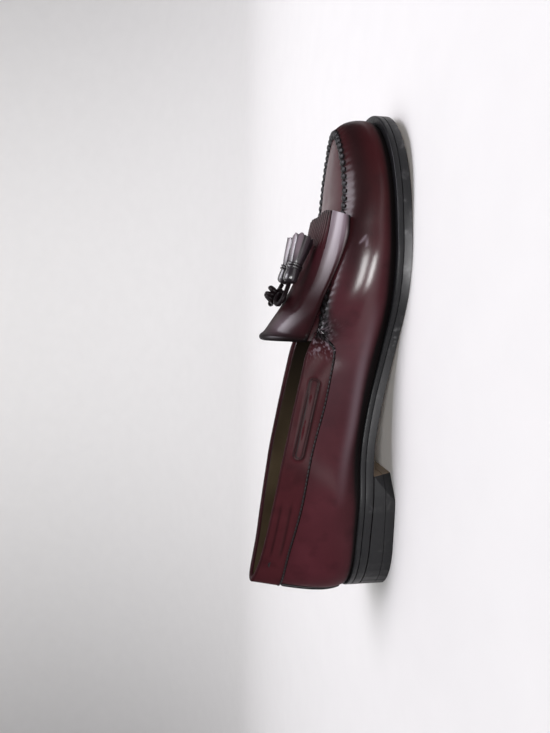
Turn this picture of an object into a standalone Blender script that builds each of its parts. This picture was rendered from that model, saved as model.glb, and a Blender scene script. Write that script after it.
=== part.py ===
"""Kiltie tassel loafer for a left foot.

Metres. +X points to the toe, +Y to the outer side of the foot, +Z up. The shoe stands on
z = 0. Lengths along the shoe are measured from the back of the sole, and one empty then
moves everything so that the origin lies under the middle of the shoe.

A place on the shoe's walls is given by two values. The first, called around, runs from
-1 at the toe along the inner side to 0 at the back of the heel, and along the outer side
to +1 at the toe again. The second, called up, is 0 at the welt and 1 at the rim, which is
the collar behind the throat and the moccasin seam in front of it.
"""
import math

import bpy
import bmesh
import numpy as np
from mathutils import Vector

# Sole and heel
SOLE_LENGTH = 0.302
BALL_WIDTH = 0.107
OUTSOLE_THICKNESS = 0.0052
WELT_THICKNESS = 0.0033
INSOLE_THICKNESS = 0.0035
HEEL_HEIGHT_BACK = 0.0165
HEEL_HEIGHT_FRONT = 0.0133
HEEL_LENGTH = 0.0801
TOP_LIFT_THICKNESS = 0.0060
CORNER_CUT_LENGTH = 0.0120
CORNER_CUT_WIDTH = 0.0090
TOE_SPRING = 0.0067
BALL_START = 0.1813
BALL_END = 0.2117
TOE_SHIFT = -0.0053

# Upper
WALL = 0.0020
COLLAR_HEIGHT = 0.0598
TOE_HEIGHT = 0.0225
RIM_BACK = 0.0045
RIM_FRONT = 0.2930
THROAT = 0.1630
INSTEP_RISE = 0.0262
SEAM_WIDTH = 0.0040
SEAM_WIDTH_AT_THROAT = 0.0015
SEAM_HEIGHT = 0.0016
SEAM_SHOULDERS = (0.27, 0.73)
SEAM_FADE = 0.0100

# Overlays
BAND_THICKNESS = 0.0013
BAND_FRONT = 0.1685
BAND_TOP_INSET = 0.0006
STAY_THICKNESS = 0.0014
STAY_WIDTH = 0.0180
KILTIE_THICKNESS = 0.0021
KILTIE_BACK = 0.1625
KILTIE_FRONT = 0.2430
KILTIE_LIFT = 0.0011
FRINGE_LENGTH = 0.0240
FRINGE_SWEEP = 0.0060
FRINGE_STRIPS = 11
SIDE_STRIP_SHARE = 1.9
SLIT_WIDTH = 0.0006

# Lace and tassels
LACE_DIAMETER = 0.0028
LACE_THICKNESS = 0.0013
LACE_CLEARANCE = 0.0009
SLOT_WIDTH = 0.0052
SLOT_BACK = 0.0920
SLOT_BACK_HEIGHT = 0.845
SLOT_FRONT = 0.1400
SLOT_FRONT_HEIGHT = 0.835
LACE_STEP = 0.0034
KNOT_X = 0.1900
KNOT_LENGTH = 0.0110
KNOT_WIDTH = 0.0105
KNOT_HEIGHT = 0.0078
KNOT_CLEARANCE = 0.0012
KNOT_WAVE = 0.07
TASSEL_LENGTH = 0.0316
TASSEL_HEAD_RADIUS = 0.0044
TASSEL_WRAP_RADIUS = 0.0050
TASSEL_TAIL_RADIUS = 0.0073
TASSEL_HEAD_SHARE = 0.34
TASSEL_WRAP_SHARE = 0.10
TASSEL_STRIPS = 9
TASSEL_SLIT_DEPTH = 0.0011
TASSEL_STRIP_THICKNESS = 0.0016

# Clearance between pieces that lie on each other
GAP = 0.0003

# Resolution of the walls: columns from the heel to the throat, and on to the toe
HEEL_COLUMNS = 20
TOE_COLUMNS = 16
WALL_LEVELS = (0.0, 0.10, 0.24, 0.40, 0.56, 0.72, 0.87, 1.0)
PLUG_STEPS = 10


def table(names, *rows):
    """A small table with named columns; each is read at any share between its rows."""
    return dict(zip(names.split(), np.array(rows, dtype=float).T))


# Half widths of the sole on its inner and outer side, as shares of the ball width,
# and the inset of the upper from the sole's edge, in shares of the same width
OUTLINE = table(
    "share  inner  outer  inset_inner  inset_outer",
    (0.00, 0.301, 0.325, 0.014, 0.014),
    (0.12, 0.320, 0.345, 0.014, 0.014),
    (0.22, 0.336, 0.348, 0.016, 0.018),
    (0.34, 0.266, 0.358, 0.018, 0.024),
    (0.44, 0.260, 0.385, 0.022, 0.030),
    (0.54, 0.324, 0.430, 0.032, 0.038),
    (0.64, 0.453, 0.480, 0.046, 0.048),
    (0.71, 0.482, 0.500, 0.050, 0.050),
    (0.78, 0.465, 0.490, 0.050, 0.050),
    (0.86, 0.447, 0.445, 0.050, 0.050),
    (1.00, 0.441, 0.360, 0.048, 0.048),
)
SOLE_ENDS = {"heel": 0.125, "heel_power": 2.15, "toe": 0.20, "toe_power": 2.2}

# The rim of the walls: half widths as shares of the ball width, and heights above the
# welt, where 0 is the toe's height and 1 is the collar's height at the back
RIM = table(
    "share  inner  outer  height_inner  height_outer",
    (0.000, 0.235, 0.235, 1.000, 1.000),
    (0.020, 0.228, 0.228, 0.960, 0.960),
    (0.065, 0.228, 0.230, 0.890, 0.880),
    (0.135, 0.258, 0.260, 0.825, 0.795),
    (0.197, 0.270, 0.272, 0.770, 0.730),
    (0.282, 0.280, 0.282, 0.690, 0.655),
    (0.338, 0.280, 0.284, 0.656, 0.625),
    (0.407, 0.272, 0.280, 0.637, 0.612),
    (0.467, 0.263, 0.274, 0.616, 0.600),
    (0.528, 0.255, 0.270, 0.575, 0.562),
    (0.559, 0.264, 0.276, 0.508, 0.500),
    (0.593, 0.290, 0.300, 0.435, 0.430),
    (0.645, 0.313, 0.336, 0.379, 0.375),
    (0.714, 0.327, 0.360, 0.277, 0.275),
    (0.783, 0.327, 0.364, 0.175, 0.170),
    (0.841, 0.314, 0.346, 0.095, 0.090),
    (0.903, 0.300, 0.327, 0.062, 0.045),
    (0.955, 0.275, 0.295, 0.036, 0.010),
    (1.000, 0.215, 0.225, 0.000, 0.000),
)
RIM_ENDS = {"heel": 0.30, "heel_power": 2.0, "toe": 0.20, "toe_power": 2.2}

# Shape of the walls between welt and rim, as shares of the wall's height at that place:
# how far the wall leans out and rises as it leaves the welt, and how far out and down
# the wall comes from as it arrives at the rim
WALLS = table(
    "share  foot_out_inner  foot_up_inner  top_out_inner  top_down_inner"
    "  foot_out_outer  foot_up_outer  top_out_outer  top_down_outer",
    (0.00, 0.110, 0.18, 0.085, 0.45, 0.110, 0.18, 0.085, 0.45),
    (0.20, 0.095, 0.27, 0.065, 0.40, 0.075, 0.27, 0.065, 0.40),
    (0.36, 0.130, 0.27, 0.070, 0.40, 0.050, 0.27, 0.090, 0.42),
    (0.50, 0.130, 0.27, 0.140, 0.38, 0.055, 0.27, 0.180, 0.36),
    (0.63, 0.090, 0.36, 0.290, 0.24, 0.070, 0.36, 0.310, 0.24),
    (0.76, 0.120, 0.38, 0.300, 0.19, 0.110, 0.38, 0.330, 0.19),
    (0.88, 0.150, 0.38, 0.300, 0.17, 0.130, 0.38, 0.320, 0.17),
    (1.00, 0.180, 0.38, 0.280, 0.15, 0.180, 0.38, 0.280, 0.15),
)

# Crown of the plug and tongue above the seam, as a share of the instep's rise,
# and how square its cross-section is
CROWN = table(
    "share  rise  power",
    (0.5517, 1.000, 2.6),
    (0.5900, 0.860, 2.5),
    (0.6300, 0.630, 2.4),
    (0.6900, 0.380, 2.4),
    (0.7650, 0.200, 2.4),
    (0.8170, 0.160, 2.5),
    (0.8500, 0.135, 2.6),
    (0.9030, 0.115, 2.8),
    (0.9550, 0.075, 2.8),
    (1.0000, 0.000, 2.8),
)

# Lower edge of the collar band, as a share of the height between welt and rim
BAND = table(
    "share  inner  outer",
    (0.00, 0.690, 0.690),
    (0.08, 0.710, 0.705),
    (0.20, 0.667, 0.662),
    (0.33, 0.645, 0.640),
    (0.42, 0.612, 0.607),
    (0.47, 0.622, 0.617),
    (0.52, 0.640, 0.635),
    (0.58, 0.780, 0.780),
)

# Kiltie from its back edge to its front: half widths as shares of the ball width,
# height of its edges over the seam as shares of the instep's rise, and its squareness
KILTIE = table(
    "share  inner  outer  edge  power",
    (0.00, 0.258, 0.262, 0.150, 2.5),
    (0.17, 0.290, 0.300, 0.160, 2.4),
    (0.34, 0.330, 0.350, 0.085, 2.4),
    (0.50, 0.358, 0.385, -0.015, 2.8),
    (0.68, 0.385, 0.412, -0.100, 4.6),
    (0.85, 0.405, 0.430, -0.135, 7.0),
    (1.00, 0.398, 0.422, -0.095, 7.5),
)


def read(rows, column, share):
    """The table's column at a share, on a smooth curve through its rows."""
    xs = rows["share"]
    ys = rows[column]
    share = np.clip(np.asarray(share, dtype=float), xs[0], xs[-1])
    steps = np.diff(xs)
    slopes = np.diff(ys) / steps
    tangents = np.empty_like(ys)
    tangents[0] = slopes[0]
    tangents[-1] = slopes[-1]
    tangents[1:-1] = (slopes[:-1] * steps[1:] + slopes[1:] * steps[:-1]) / (steps[1:] + steps[:-1])
    i = np.clip(np.searchsorted(xs, share) - 1, 0, len(xs) - 2)
    t = (share - xs[i]) / steps[i]
    return ((2 * t**3 - 3 * t**2 + 1) * ys[i] + (t**3 - 2 * t**2 + t) * steps[i] * tangents[i]
            + (3 * t**2 - 2 * t**3) * ys[i + 1] + (t**3 - t**2) * steps[i] * tangents[i + 1])


def both(rows, column, around):
    """The inner or outer column, whichever side of the shoe the place is on."""
    share = share_at(around)
    return np.where(wrap(around) < 0.0, read(rows, column + "_inner", share),
                    read(rows, column + "_outer", share))


def smoothstep(x):
    x = np.clip(x, 0.0, 1.0)
    return x * x * (3.0 - 2.0 * x)


# Places around the shoe

def wrap(around):
    return (np.asarray(around, dtype=float) + 1.0) % 2.0 - 1.0


THROAT_SHARE = (THROAT - RIM_BACK) / (RIM_FRONT - RIM_BACK)
THROAT_AROUND = HEEL_COLUMNS / (HEEL_COLUMNS + TOE_COLUMNS)


def share_at(around):
    """Share of the length at a place around the shoe; places crowd at heel and toe."""
    q = np.abs(wrap(around))
    back = THROAT_SHARE * (1.0 - np.cos(0.5 * math.pi * np.minimum(q / THROAT_AROUND, 1.0)))
    front_angle = 0.5 * math.pi * np.clip((q - THROAT_AROUND) / (1.0 - THROAT_AROUND), 0.0, 1.0)
    return back + (1.0 - THROAT_SHARE) * np.sin(front_angle)


def around_at(share):
    """Place on the outer side for a share of the length."""
    share = np.asarray(share, dtype=float)
    back = np.arccos(np.clip(1.0 - share / THROAT_SHARE, -1.0, 1.0)) * 2.0 / math.pi
    front = np.arcsin(np.clip((share - THROAT_SHARE) / (1.0 - THROAT_SHARE), 0.0, 1.0))
    return np.where(share < THROAT_SHARE, THROAT_AROUND * back,
                    THROAT_AROUND + (1.0 - THROAT_AROUND) * front * 2.0 / math.pi)


BAND_FRONT_AROUND = float(around_at((BAND_FRONT - RIM_BACK) / (RIM_FRONT - RIM_BACK)))


def rounding(share, ends):
    heel = np.clip((ends["heel"] - share) / ends["heel"], 0.0, 1.0)
    toe = np.clip((share - 1.0 + ends["toe"]) / ends["toe"], 0.0, 1.0)
    return ((1.0 - heel**ends["heel_power"])**(1.0 / ends["heel_power"])
            * (1.0 - toe**ends["toe_power"])**(1.0 / ends["toe_power"]))


def plan(around, rows, ends, back, front):
    """Plan outline between two places along the shoe."""
    q = wrap(around)
    share = share_at(q)
    inner = -read(rows, "inner", share)
    outer = read(rows, "outer", share)
    width = np.where(q < 0.0, inner, outer) * BALL_WIDTH * rounding(share, ends)
    bend = TOE_SHIFT * np.clip((share - THROAT_SHARE) / (1.0 - THROAT_SHARE), 0.0, 1.0)**2
    return np.stack([back + (front - back) * share, bend + width], axis=-1)


def sole_edge(around):
    return plan(around, OUTLINE, SOLE_ENDS, 0.0, SOLE_LENGTH)


def rim_plan(around):
    return plan(around, RIM, RIM_ENDS, RIM_BACK, RIM_FRONT)


def outward(curve, around):
    """Unit vector in plan that points out of the shoe."""
    step = 0.003
    along = curve(around + step) - curve(around - step)
    along = along / np.linalg.norm(along, axis=-1, keepdims=True)
    return np.stack([-along[..., 1], along[..., 0]], axis=-1)


def feather(around, extra=0.0):
    """Plan of the line where the upper meets the welt, moved in by extra."""
    inset = both(OUTLINE, "inset", around) * BALL_WIDTH + extra
    return sole_edge(around) - outward(sole_edge, around) * inset[..., None]


# Heights along the shoe

def outsole_bottom(x):
    x = np.asarray(x, dtype=float)
    slope = (HEEL_HEIGHT_FRONT - HEEL_HEIGHT_BACK) / HEEL_LENGTH
    heel = HEEL_HEIGHT_BACK + slope * x
    span = BALL_START - HEEL_LENGTH
    t = np.clip((x - HEEL_LENGTH) / span, 0.0, 1.0)
    arch = (2 * t**3 - 3 * t**2 + 1) * HEEL_HEIGHT_FRONT + (t**3 - 2 * t**2 + t) * span * slope * 1.4
    toe = TOE_SPRING * np.clip((x - BALL_END) / (SOLE_LENGTH - BALL_END), 0.0, 1.2)**2
    return np.where(x < HEEL_LENGTH, heel, arch) + toe


def outsole_top(x):
    return outsole_bottom(x) + OUTSOLE_THICKNESS


def welt_bottom(x):
    return outsole_top(x) + GAP


def welt_top(x):
    return welt_bottom(x) + WELT_THICKNESS


def insole_top(x):
    return outsole_top(x) + GAP + INSOLE_THICKNESS


def rim_point(around):
    flat = rim_plan(around)
    rise = both(RIM, "height", around)
    z = welt_top(flat[..., 0]) + TOE_HEIGHT + rise * (COLLAR_HEIGHT - TOE_HEIGHT)
    return np.concatenate([flat, z[..., None]], axis=-1)


# Surfaces of the upper

def wall(around, up):
    """Outer face of the upper's wall."""
    around = np.asarray(around, dtype=float)
    up = np.asarray(up, dtype=float)[..., None]
    flat = feather(around)
    foot = np.concatenate([flat, welt_top(flat[..., 0])[..., None]], axis=-1)
    top = rim_point(around)
    height = (top[..., 2] - foot[..., 2])[..., None]
    foot_out = outward(feather, around) * height * both(WALLS, "foot_out", around)[..., None]
    foot_up = height * both(WALLS, "foot_up", around)[..., None]
    top_out = outward(rim_plan, around) * height * both(WALLS, "top_out", around)[..., None]
    top_down = height * both(WALLS, "top_down", around)[..., None]
    first = foot + np.concatenate([foot_out, foot_up], axis=-1)
    second = top + np.concatenate([top_out, -top_down], axis=-1)
    rest = 1.0 - up
    return rest**3 * foot + 3 * rest**2 * up * first + 3 * rest * up**2 * second + up**3 * top


def wall_normal(around, up):
    around = np.asarray(around, dtype=float)
    up = np.clip(np.asarray(up, dtype=float), 0.01, 0.99)
    along = wall(around + 0.004, up) - wall(around - 0.004, up)
    rise = wall(around, up + 0.01) - wall(around, up - 0.01)
    normal = np.cross(rise, along)
    return normal / np.linalg.norm(normal, axis=-1, keepdims=True)


def wall_up_at(around, height_share):
    """Value of up where the wall has climbed a share of its height."""
    samples = np.linspace(0.0, 1.0, 41)
    z = wall(np.full(samples.shape, float(around)), samples)[:, 2]
    return float(np.interp(z[0] + height_share * (z[-1] - z[0]), z, samples))


def seam_fade(around):
    """0 where the collar is open, 1 where the moccasin seam stands at full height."""
    beyond = share_at(around) * (RIM_FRONT - RIM_BACK) + RIM_BACK - BAND_FRONT
    return smoothstep(beyond / SEAM_FADE)


def seam_point(around, inset_share, height_share):
    """A point across the moccasin seam: its outer foot has inset 0, its inner foot 1."""
    fade = seam_fade(around)
    width = SEAM_WIDTH_AT_THROAT + (SEAM_WIDTH - SEAM_WIDTH_AT_THROAT) * fade
    point = rim_point(around)
    shift = outward(rim_plan, around) * (width * inset_share)[..., None]
    lift = SEAM_HEIGHT * height_share * fade
    return np.concatenate([point[..., :2] - shift, (point[..., 2] + lift)[..., None]], axis=-1)


def plug_point(around, across):
    """Plug and tongue between the two seams; across is -1 inner, +1 outer."""
    around = np.abs(np.asarray(around, dtype=float))
    across = np.asarray(across, dtype=float)
    inner = seam_point(-around, 1.0, 0.0)
    outer = seam_point(around, 1.0, 0.0)
    point = inner + (outer - inner) * (0.5 + 0.5 * across)[..., None]
    share = share_at(around)
    rise = INSTEP_RISE * read(CROWN, "rise", share)
    point[..., 2] += rise * (1.0 - np.abs(across)**read(CROWN, "power", share))
    return point


# Mesh helpers

def material(name, colour, roughness, metallic=0.0):
    made = bpy.data.materials.new(name)
    made.use_nodes = True
    shader = made.node_tree.nodes["Principled BSDF"]
    shader.inputs["Base Color"].default_value = (*colour, 1.0)
    shader.inputs["Roughness"].default_value = roughness
    shader.inputs["Metallic"].default_value = metallic
    made.diffuse_color = (*colour, 1.0)
    return made


def finish_mesh(mesh, angle=40.0):
    work = bmesh.new()
    work.from_mesh(mesh)
    bmesh.ops.recalc_face_normals(work, faces=work.faces[:])
    work.to_mesh(mesh)
    work.free()
    mesh.shade_smooth()
    mesh.set_sharp_from_angle(angle=math.radians(angle))


def add_solid(name, points, faces, surface, parent, angle=40.0):
    mesh = bpy.data.meshes.new(name)
    mesh.from_pydata([tuple(float(c) for c in p) for p in points], [], [tuple(f) for f in faces])
    finish_mesh(mesh, angle)
    mesh.materials.append(surface)
    made = bpy.data.objects.new(name, mesh)
    bpy.context.scene.collection.objects.link(made)
    made.parent = parent
    return made


def vertex_normals(points, faces):
    """Unit normals at the points of an open sheet."""
    points = np.asarray(points)
    normals = np.zeros_like(points)
    for face in faces:
        corners = points[list(face)]
        following = np.roll(corners, -1, axis=0)
        normals[list(face)] += np.cross(corners, following).sum(axis=0)
    return normals / np.linalg.norm(normals, axis=1, keepdims=True)


def close_sheet(under, over, faces):
    """Closed solid between two sheets that share the same faces."""
    count = len(under)
    directed = set()
    for face in faces:
        for a, b in zip(face, face[1:] + face[:1]):
            directed.add((a, b))
    closed = [tuple(i + count for i in face) for face in faces]
    closed += [tuple(reversed(face)) for face in faces]
    closed += [(a, b, b + count, a + count) for a, b in sorted(directed) if (b, a) not in directed]
    return np.concatenate([under, over]), closed


def grid_sheet(under, over, present=None):
    """Closed solid between two grids of points, without the cells that aren't present."""
    rows, columns = under.shape[:2]
    faces = []
    for i in range(rows - 1):
        for j in range(columns - 1):
            if present is None or present[i, j]:
                a = i * columns + j
                faces.append([a, a + 1, a + columns + 1, a + columns])
    used = sorted({k for face in faces for k in face})
    index = {k: n for n, k in enumerate(used)}
    faces = [[index[k] for k in face] for face in faces]
    return close_sheet(under.reshape(-1, 3)[used], over.reshape(-1, 3)[used], faces)


def ruled_plate(inner, outer, low, high):
    """Closed plate between an inner and an outer outline that may meet at their ends."""
    points = []
    rows = []
    for a, b in zip(inner, outer):
        row = [a] if np.allclose(a, b, atol=1e-7) else [a, b]
        rows.append([len(points) + n for n in range(len(row))])
        points += row
    faces = []
    for here, ahead in zip(rows, rows[1:]):
        faces.append(here + ahead[::-1])
    plan_points = np.array(points)
    under = np.column_stack([plan_points, low(plan_points[:, 0])])
    over = np.column_stack([plan_points, high(plan_points[:, 0])])
    return close_sheet(under, over, faces)


def half_columns(last=1.0):
    """Places from the heel to a place on the outer side, mirrored by the caller."""
    count = HEEL_COLUMNS + TOE_COLUMNS
    places = np.sort(np.append(np.arange(count + 1) / count, BAND_FRONT_AROUND))
    return np.append(places[places < last - 0.1 / count], last)


def full_loop():
    """Places all round the shoe, from the toe along the inner side and back."""
    half = half_columns()
    return np.concatenate([-half[:0:-1], half[:-1]])


# Sole

def build_outsole(surface, parent):
    places = half_columns()
    points, faces = ruled_plate(sole_edge(-places), sole_edge(places), outsole_bottom, outsole_top)
    return add_solid("outsole", points, faces, surface, parent)


def build_insole(surface, parent):
    places = half_columns()
    inset = WALL + GAP
    points, faces = ruled_plate(feather(-places, inset), feather(places, inset), welt_bottom, insole_top)
    return add_solid("insole", points, faces, surface, parent)


def build_welt(surface, parent):
    places = full_loop()
    count = len(places)
    edge = sole_edge(places)
    inside = feather(places, -GAP)
    plan_points = np.concatenate([edge, inside])
    faces = [[k, (k + 1) % count, count + (k + 1) % count, count + k] for k in range(count)]
    under = np.column_stack([plan_points, welt_bottom(plan_points[:, 0])])
    over = np.column_stack([plan_points, welt_top(plan_points[:, 0])])
    points, faces = close_sheet(under, over, faces)
    return add_solid("welt", points, faces, surface, parent)


def cut_corner(made):
    """Take off the inner front corner, more towards the ground."""
    side = float(sole_edge(-heel_front_place())[1])
    top = Vector((HEEL_LENGTH, side, HEEL_HEIGHT_FRONT))
    back = Vector((HEEL_LENGTH - CORNER_CUT_LENGTH, side, 0.0))
    across = Vector((HEEL_LENGTH, side + CORNER_CUT_WIDTH, 0.0))
    normal = (back - top).cross(across - top)
    if normal.x < 0.0:
        normal = -normal
    work = bmesh.new()
    work.from_mesh(made.data)
    bmesh.ops.bisect_plane(work, geom=work.verts[:] + work.edges[:] + work.faces[:], dist=1e-7,
                           plane_co=top, plane_no=normal, clear_outer=True)
    bmesh.ops.holes_fill(work, edges=[e for e in work.edges if e.is_boundary], sides=0)
    work.to_mesh(made.data)
    work.free()
    finish_mesh(made.data)


def heel_front_place():
    return float(around_at(HEEL_LENGTH / SOLE_LENGTH))


def heel_bottom(x):
    return outsole_bottom(x) - GAP


def build_heel(stack_surface, lift_surface, parent):
    places = half_columns(heel_front_place())
    inner, outer = sole_edge(-places), sole_edge(places)
    points, faces = ruled_plate(inner, outer, lambda x: 0.0 * x + TOP_LIFT_THICKNESS + GAP, heel_bottom)
    stack = add_solid("heel_stack", points, faces, stack_surface, parent)
    points, faces = ruled_plate(inner, outer, lambda x: 0.0 * x, lambda x: 0.0 * x + TOP_LIFT_THICKNESS)
    lift = add_solid("top_lift", points, faces, lift_surface, parent)
    cut_corner(stack)
    cut_corner(lift)
    return stack, lift


# Upper

def build_upper(surface, parent):
    places = full_loop()
    count = len(places)
    base = []
    outer = []

    def add(points, raised=None):
        start = len(base)
        raised = points if raised is None else raised
        base.extend(points)
        outer.extend(raised)
        return list(range(start, start + len(points)))

    foot = wall(places, np.zeros(count))
    skirt = foot.copy()
    skirt[:, 2] = welt_bottom(foot[:, 0])
    rows = [add(skirt)]
    rows += [add(wall(places, np.full(count, level))) for level in WALL_LEVELS]
    faces = []
    for low, high in zip(rows, rows[1:]):
        for k in range(count):
            n = (k + 1) % count
            faces.append([low[n], low[k], high[k], high[n]])

    # Moccasin seam: from the throat on the inner side round the toe to the outer side
    inner_throat = int(np.argmin(np.abs(places + THROAT_AROUND)))
    outer_throat = int(np.argmin(np.abs(places - THROAT_AROUND)))
    wall_columns = list(range(inner_throat, -1, -1)) + list(range(count - 1, outer_throat - 1, -1))
    seam_places = places[wall_columns]
    strips = [[rows[-1][k] for k in wall_columns]]
    for inset, height in ((SEAM_SHOULDERS[0], 1.0), (SEAM_SHOULDERS[1], 1.0), (1.0, 0.0)):
        strips.append(add(seam_point(seam_places, inset, 0.0), seam_point(seam_places, inset, height)))
    for low, high in zip(strips, strips[1:]):
        for k in range(len(seam_places) - 1):
            faces.append([low[k], low[k + 1], high[k + 1], high[k]])

    # Plug and tongue between the two halves of the seam
    inner_foot = strips[-1]
    across = np.sin(0.5 * math.pi * np.linspace(-1.0, 1.0, PLUG_STEPS + 1))[1:-1]
    rungs = []
    for k in range(inner_throat):
        middle = add(plug_point(np.full(across.shape, seam_places[k]), across))
        rungs.append([inner_foot[k]] + middle + [inner_foot[-1 - k]])
    tip = inner_foot[inner_throat]
    for here, ahead in zip(rungs, rungs[1:]):
        for j in range(PLUG_STEPS):
            faces.append([here[j], ahead[j], ahead[j + 1], here[j + 1]])
    for j in range(PLUG_STEPS):
        faces.append([rungs[-1][j], tip, rungs[-1][j + 1]])

    base = np.array(base)
    outer = np.array(outer)
    normals = vertex_normals(base, faces)
    inside = base - normals * WALL
    inside[rows[0], 2] = outer[rows[0], 2]
    points, faces = close_sheet(inside, outer, faces)
    return add_solid("upper", points, faces, surface, parent, angle=50.0)


def wall_patch(places, ups, lift_under, lift_over):
    """Closed solid over a patch of the wall, between two heights above its face."""
    around = np.repeat(np.asarray(places)[:, None], ups.shape[1], axis=1)
    face = wall(around, ups)
    normal = wall_normal(around, ups)
    return grid_sheet(face + normal * lift_under, face + normal * lift_over)


def side_prism(name, outline, reach, side):
    """Hidden prism through one side of the shoe, with an outline of (x, z) points."""
    near = [(x, side * reach[0], z) for x, z in outline]
    far = [(x, side * reach[1], z) for x, z in outline]
    count = len(outline)
    faces = [tuple(range(count)), tuple(reversed(range(count, 2 * count)))]
    faces += [(k, count + k, count + (k + 1) % count, (k + 1) % count) for k in range(count)]
    mesh = bpy.data.meshes.new(name)
    mesh.from_pydata(near + far, [], faces)
    finish_mesh(mesh)
    made = bpy.data.objects.new(name, mesh)
    bpy.context.scene.collection.objects.link(made)
    made.hide_render = True
    made.display_type = "WIRE"
    return made


def slot_line(side):
    """Middle line of the lace slot in the collar band, as (around, up) at both ends."""
    ends = []
    for x, height_share in ((SLOT_BACK, SLOT_BACK_HEIGHT), (SLOT_FRONT, SLOT_FRONT_HEIGHT)):
        place = side * float(around_at((x - RIM_BACK) / (RIM_FRONT - RIM_BACK)))
        ends.append((place, wall_up_at(place, height_share)))
    return ends


def slot_outline(side, half_width, steps=6):
    """Stadium round the slot's middle line, seen from the side."""
    (back, back_up), (front, front_up) = slot_line(side)
    a = wall(np.array([back]), np.array([back_up]))[0][[0, 2]]
    b = wall(np.array([front]), np.array([front_up]))[0][[0, 2]]
    tilt = math.atan2(b[1] - a[1], b[0] - a[0])
    inset = np.array([math.cos(tilt), math.sin(tilt)]) * half_width
    outline = []
    for centre, start in ((b - inset, -0.5 * math.pi), (a + inset, 0.5 * math.pi)):
        for k in range(steps + 1):
            angle = tilt + start + math.pi * k / steps
            outline.append((centre[0] + half_width * math.cos(angle),
                            centre[1] + half_width * math.sin(angle)))
    return outline


def build_collar_band(surface, parent):
    places = half_columns(BAND_FRONT_AROUND)
    places = np.concatenate([-places[:0:-1], places])
    low = np.where(places < 0, read(BAND, "inner", share_at(places)), read(BAND, "outer", share_at(places)))
    heights = rim_point(places)[:, 2] - welt_top(feather(places)[:, 0])
    high = 1.0 - BAND_TOP_INSET / heights
    ups = np.array([[wall_up_at(q, a + (b - a) * t) for t in (0.0, 0.33, 0.67, 1.0)]
                    for q, a, b in zip(places, low, high)])
    points, faces = wall_patch(places, ups, GAP, GAP + BAND_THICKNESS)
    band = add_solid("collar_band", points, faces, surface, parent)
    for side, label in ((-1, "inner"), (1, "outer")):
        cutter = side_prism("slot_cutter_" + label, slot_outline(side, 0.5 * SLOT_WIDTH),
                            (0.2 * BALL_WIDTH, 0.5 * BALL_WIDTH), side)
        cutter.parent = parent
        cut = band.modifiers.new("slot_" + label, "BOOLEAN")
        cut.operation = "DIFFERENCE"
        cut.object = cutter
    return band


def build_slot_lace(side, label, surface, parent):
    """The stretch of lace that shows in the slot of the band."""
    (back, back_up), (front, front_up) = slot_line(side)
    half = 0.5 * SLOT_WIDTH - LACE_CLEARANCE
    length = SLOT_FRONT - SLOT_BACK
    ups = []
    places = []
    for t in (0.035, 0.065, 0.2, 0.35, 0.5, 0.65, 0.8, 0.935, 0.965):
        place = back + (front - back) * t
        middle = back_up + (front_up - back_up) * t
        from_end = min(t, 1.0 - t) * length
        reach = 0.5 * SLOT_WIDTH
        share = 1.0 if from_end > reach else math.sqrt(1.0 - (1.0 - from_end / reach)**2)
        tall = float(rim_point(np.array([place]))[0, 2] - welt_top(feather(np.array([place]))[0, 0]))
        spread = half * share / tall
        places.append(place)
        ups.append([middle + spread * k for k in (-1.0, -0.5, 0.0, 0.5, 1.0)])
    ups = np.array(ups)
    crown = GAP + LACE_THICKNESS * np.array([0.55, 0.9, 1.0, 0.9, 0.55])
    points, faces = wall_patch(np.array(places), ups, GAP, crown[None, :, None])
    return add_solid("lace_in_slot_" + label, points, faces, surface, parent)


def build_back_stay(surface, parent):
    """Strip up the back of the heel, from the welt to the collar band."""
    half = float(np.interp(0.5 * STAY_WIDTH, wall(np.linspace(0, 0.3, 60), np.full(60, 0.3))[:, 1],
                           np.linspace(0, 0.3, 60)))
    places = np.linspace(-half, half, 9)
    ups = []
    for q in places:
        top = float(read(BAND, "inner", share_at(q)))
        height = float(rim_point(np.array([q]))[0, 2] - welt_top(feather(np.array([q]))[0, 0]))
        low = (2.0 * GAP + 0.7 * STAY_THICKNESS) / height
        high = top - 2.0 * GAP / height
        ups.append([wall_up_at(q, low + (high - low) * t) for t in np.linspace(0.0, 1.0, 8)])
    points, faces = wall_patch(places, np.array(ups), GAP, GAP + STAY_THICKNESS)
    return add_solid("back_stay", points, faces, surface, parent)


# Kiltie

def kiltie_point(along, across):
    """Underside of the kiltie; along is 0 at its back edge and 1 at the fringe's end."""
    along = np.asarray(along, dtype=float)
    across = np.asarray(across, dtype=float)
    front = KILTIE_FRONT - FRINGE_SWEEP * np.abs(across)**4
    x = KILTIE_BACK + (front - KILTIE_BACK) * along
    place = around_at((x - RIM_BACK) / (RIM_FRONT - RIM_BACK))
    middle = plug_point(place, np.zeros_like(place))
    inner = seam_point(-place, 0.5, 0.0)
    outer = seam_point(place, 0.5, 0.0)
    seam_z = 0.5 * (inner[..., 2] + outer[..., 2])
    half = np.where(across < 0.0, read(KILTIE, "inner", along), read(KILTIE, "outer", along)) * BALL_WIDTH
    edge_z = seam_z + read(KILTIE, "edge", along) * INSTEP_RISE
    top_z = middle[..., 2] + KILTIE_LIFT
    z = edge_z + (top_z - edge_z) * (1.0 - np.abs(across)**read(KILTIE, "power", along))
    return np.stack([x, middle[..., 1] + across * half, z], axis=-1)


def strip_edges():
    """Places across the kiltie of its fringe strips: wide ones outside, narrow inside."""
    widths = [SIDE_STRIP_SHARE] + [1.0] * FRINGE_STRIPS + [SIDE_STRIP_SHARE]
    return np.cumsum([0.0] + widths) / sum(widths) * 2.0 - 1.0


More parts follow.
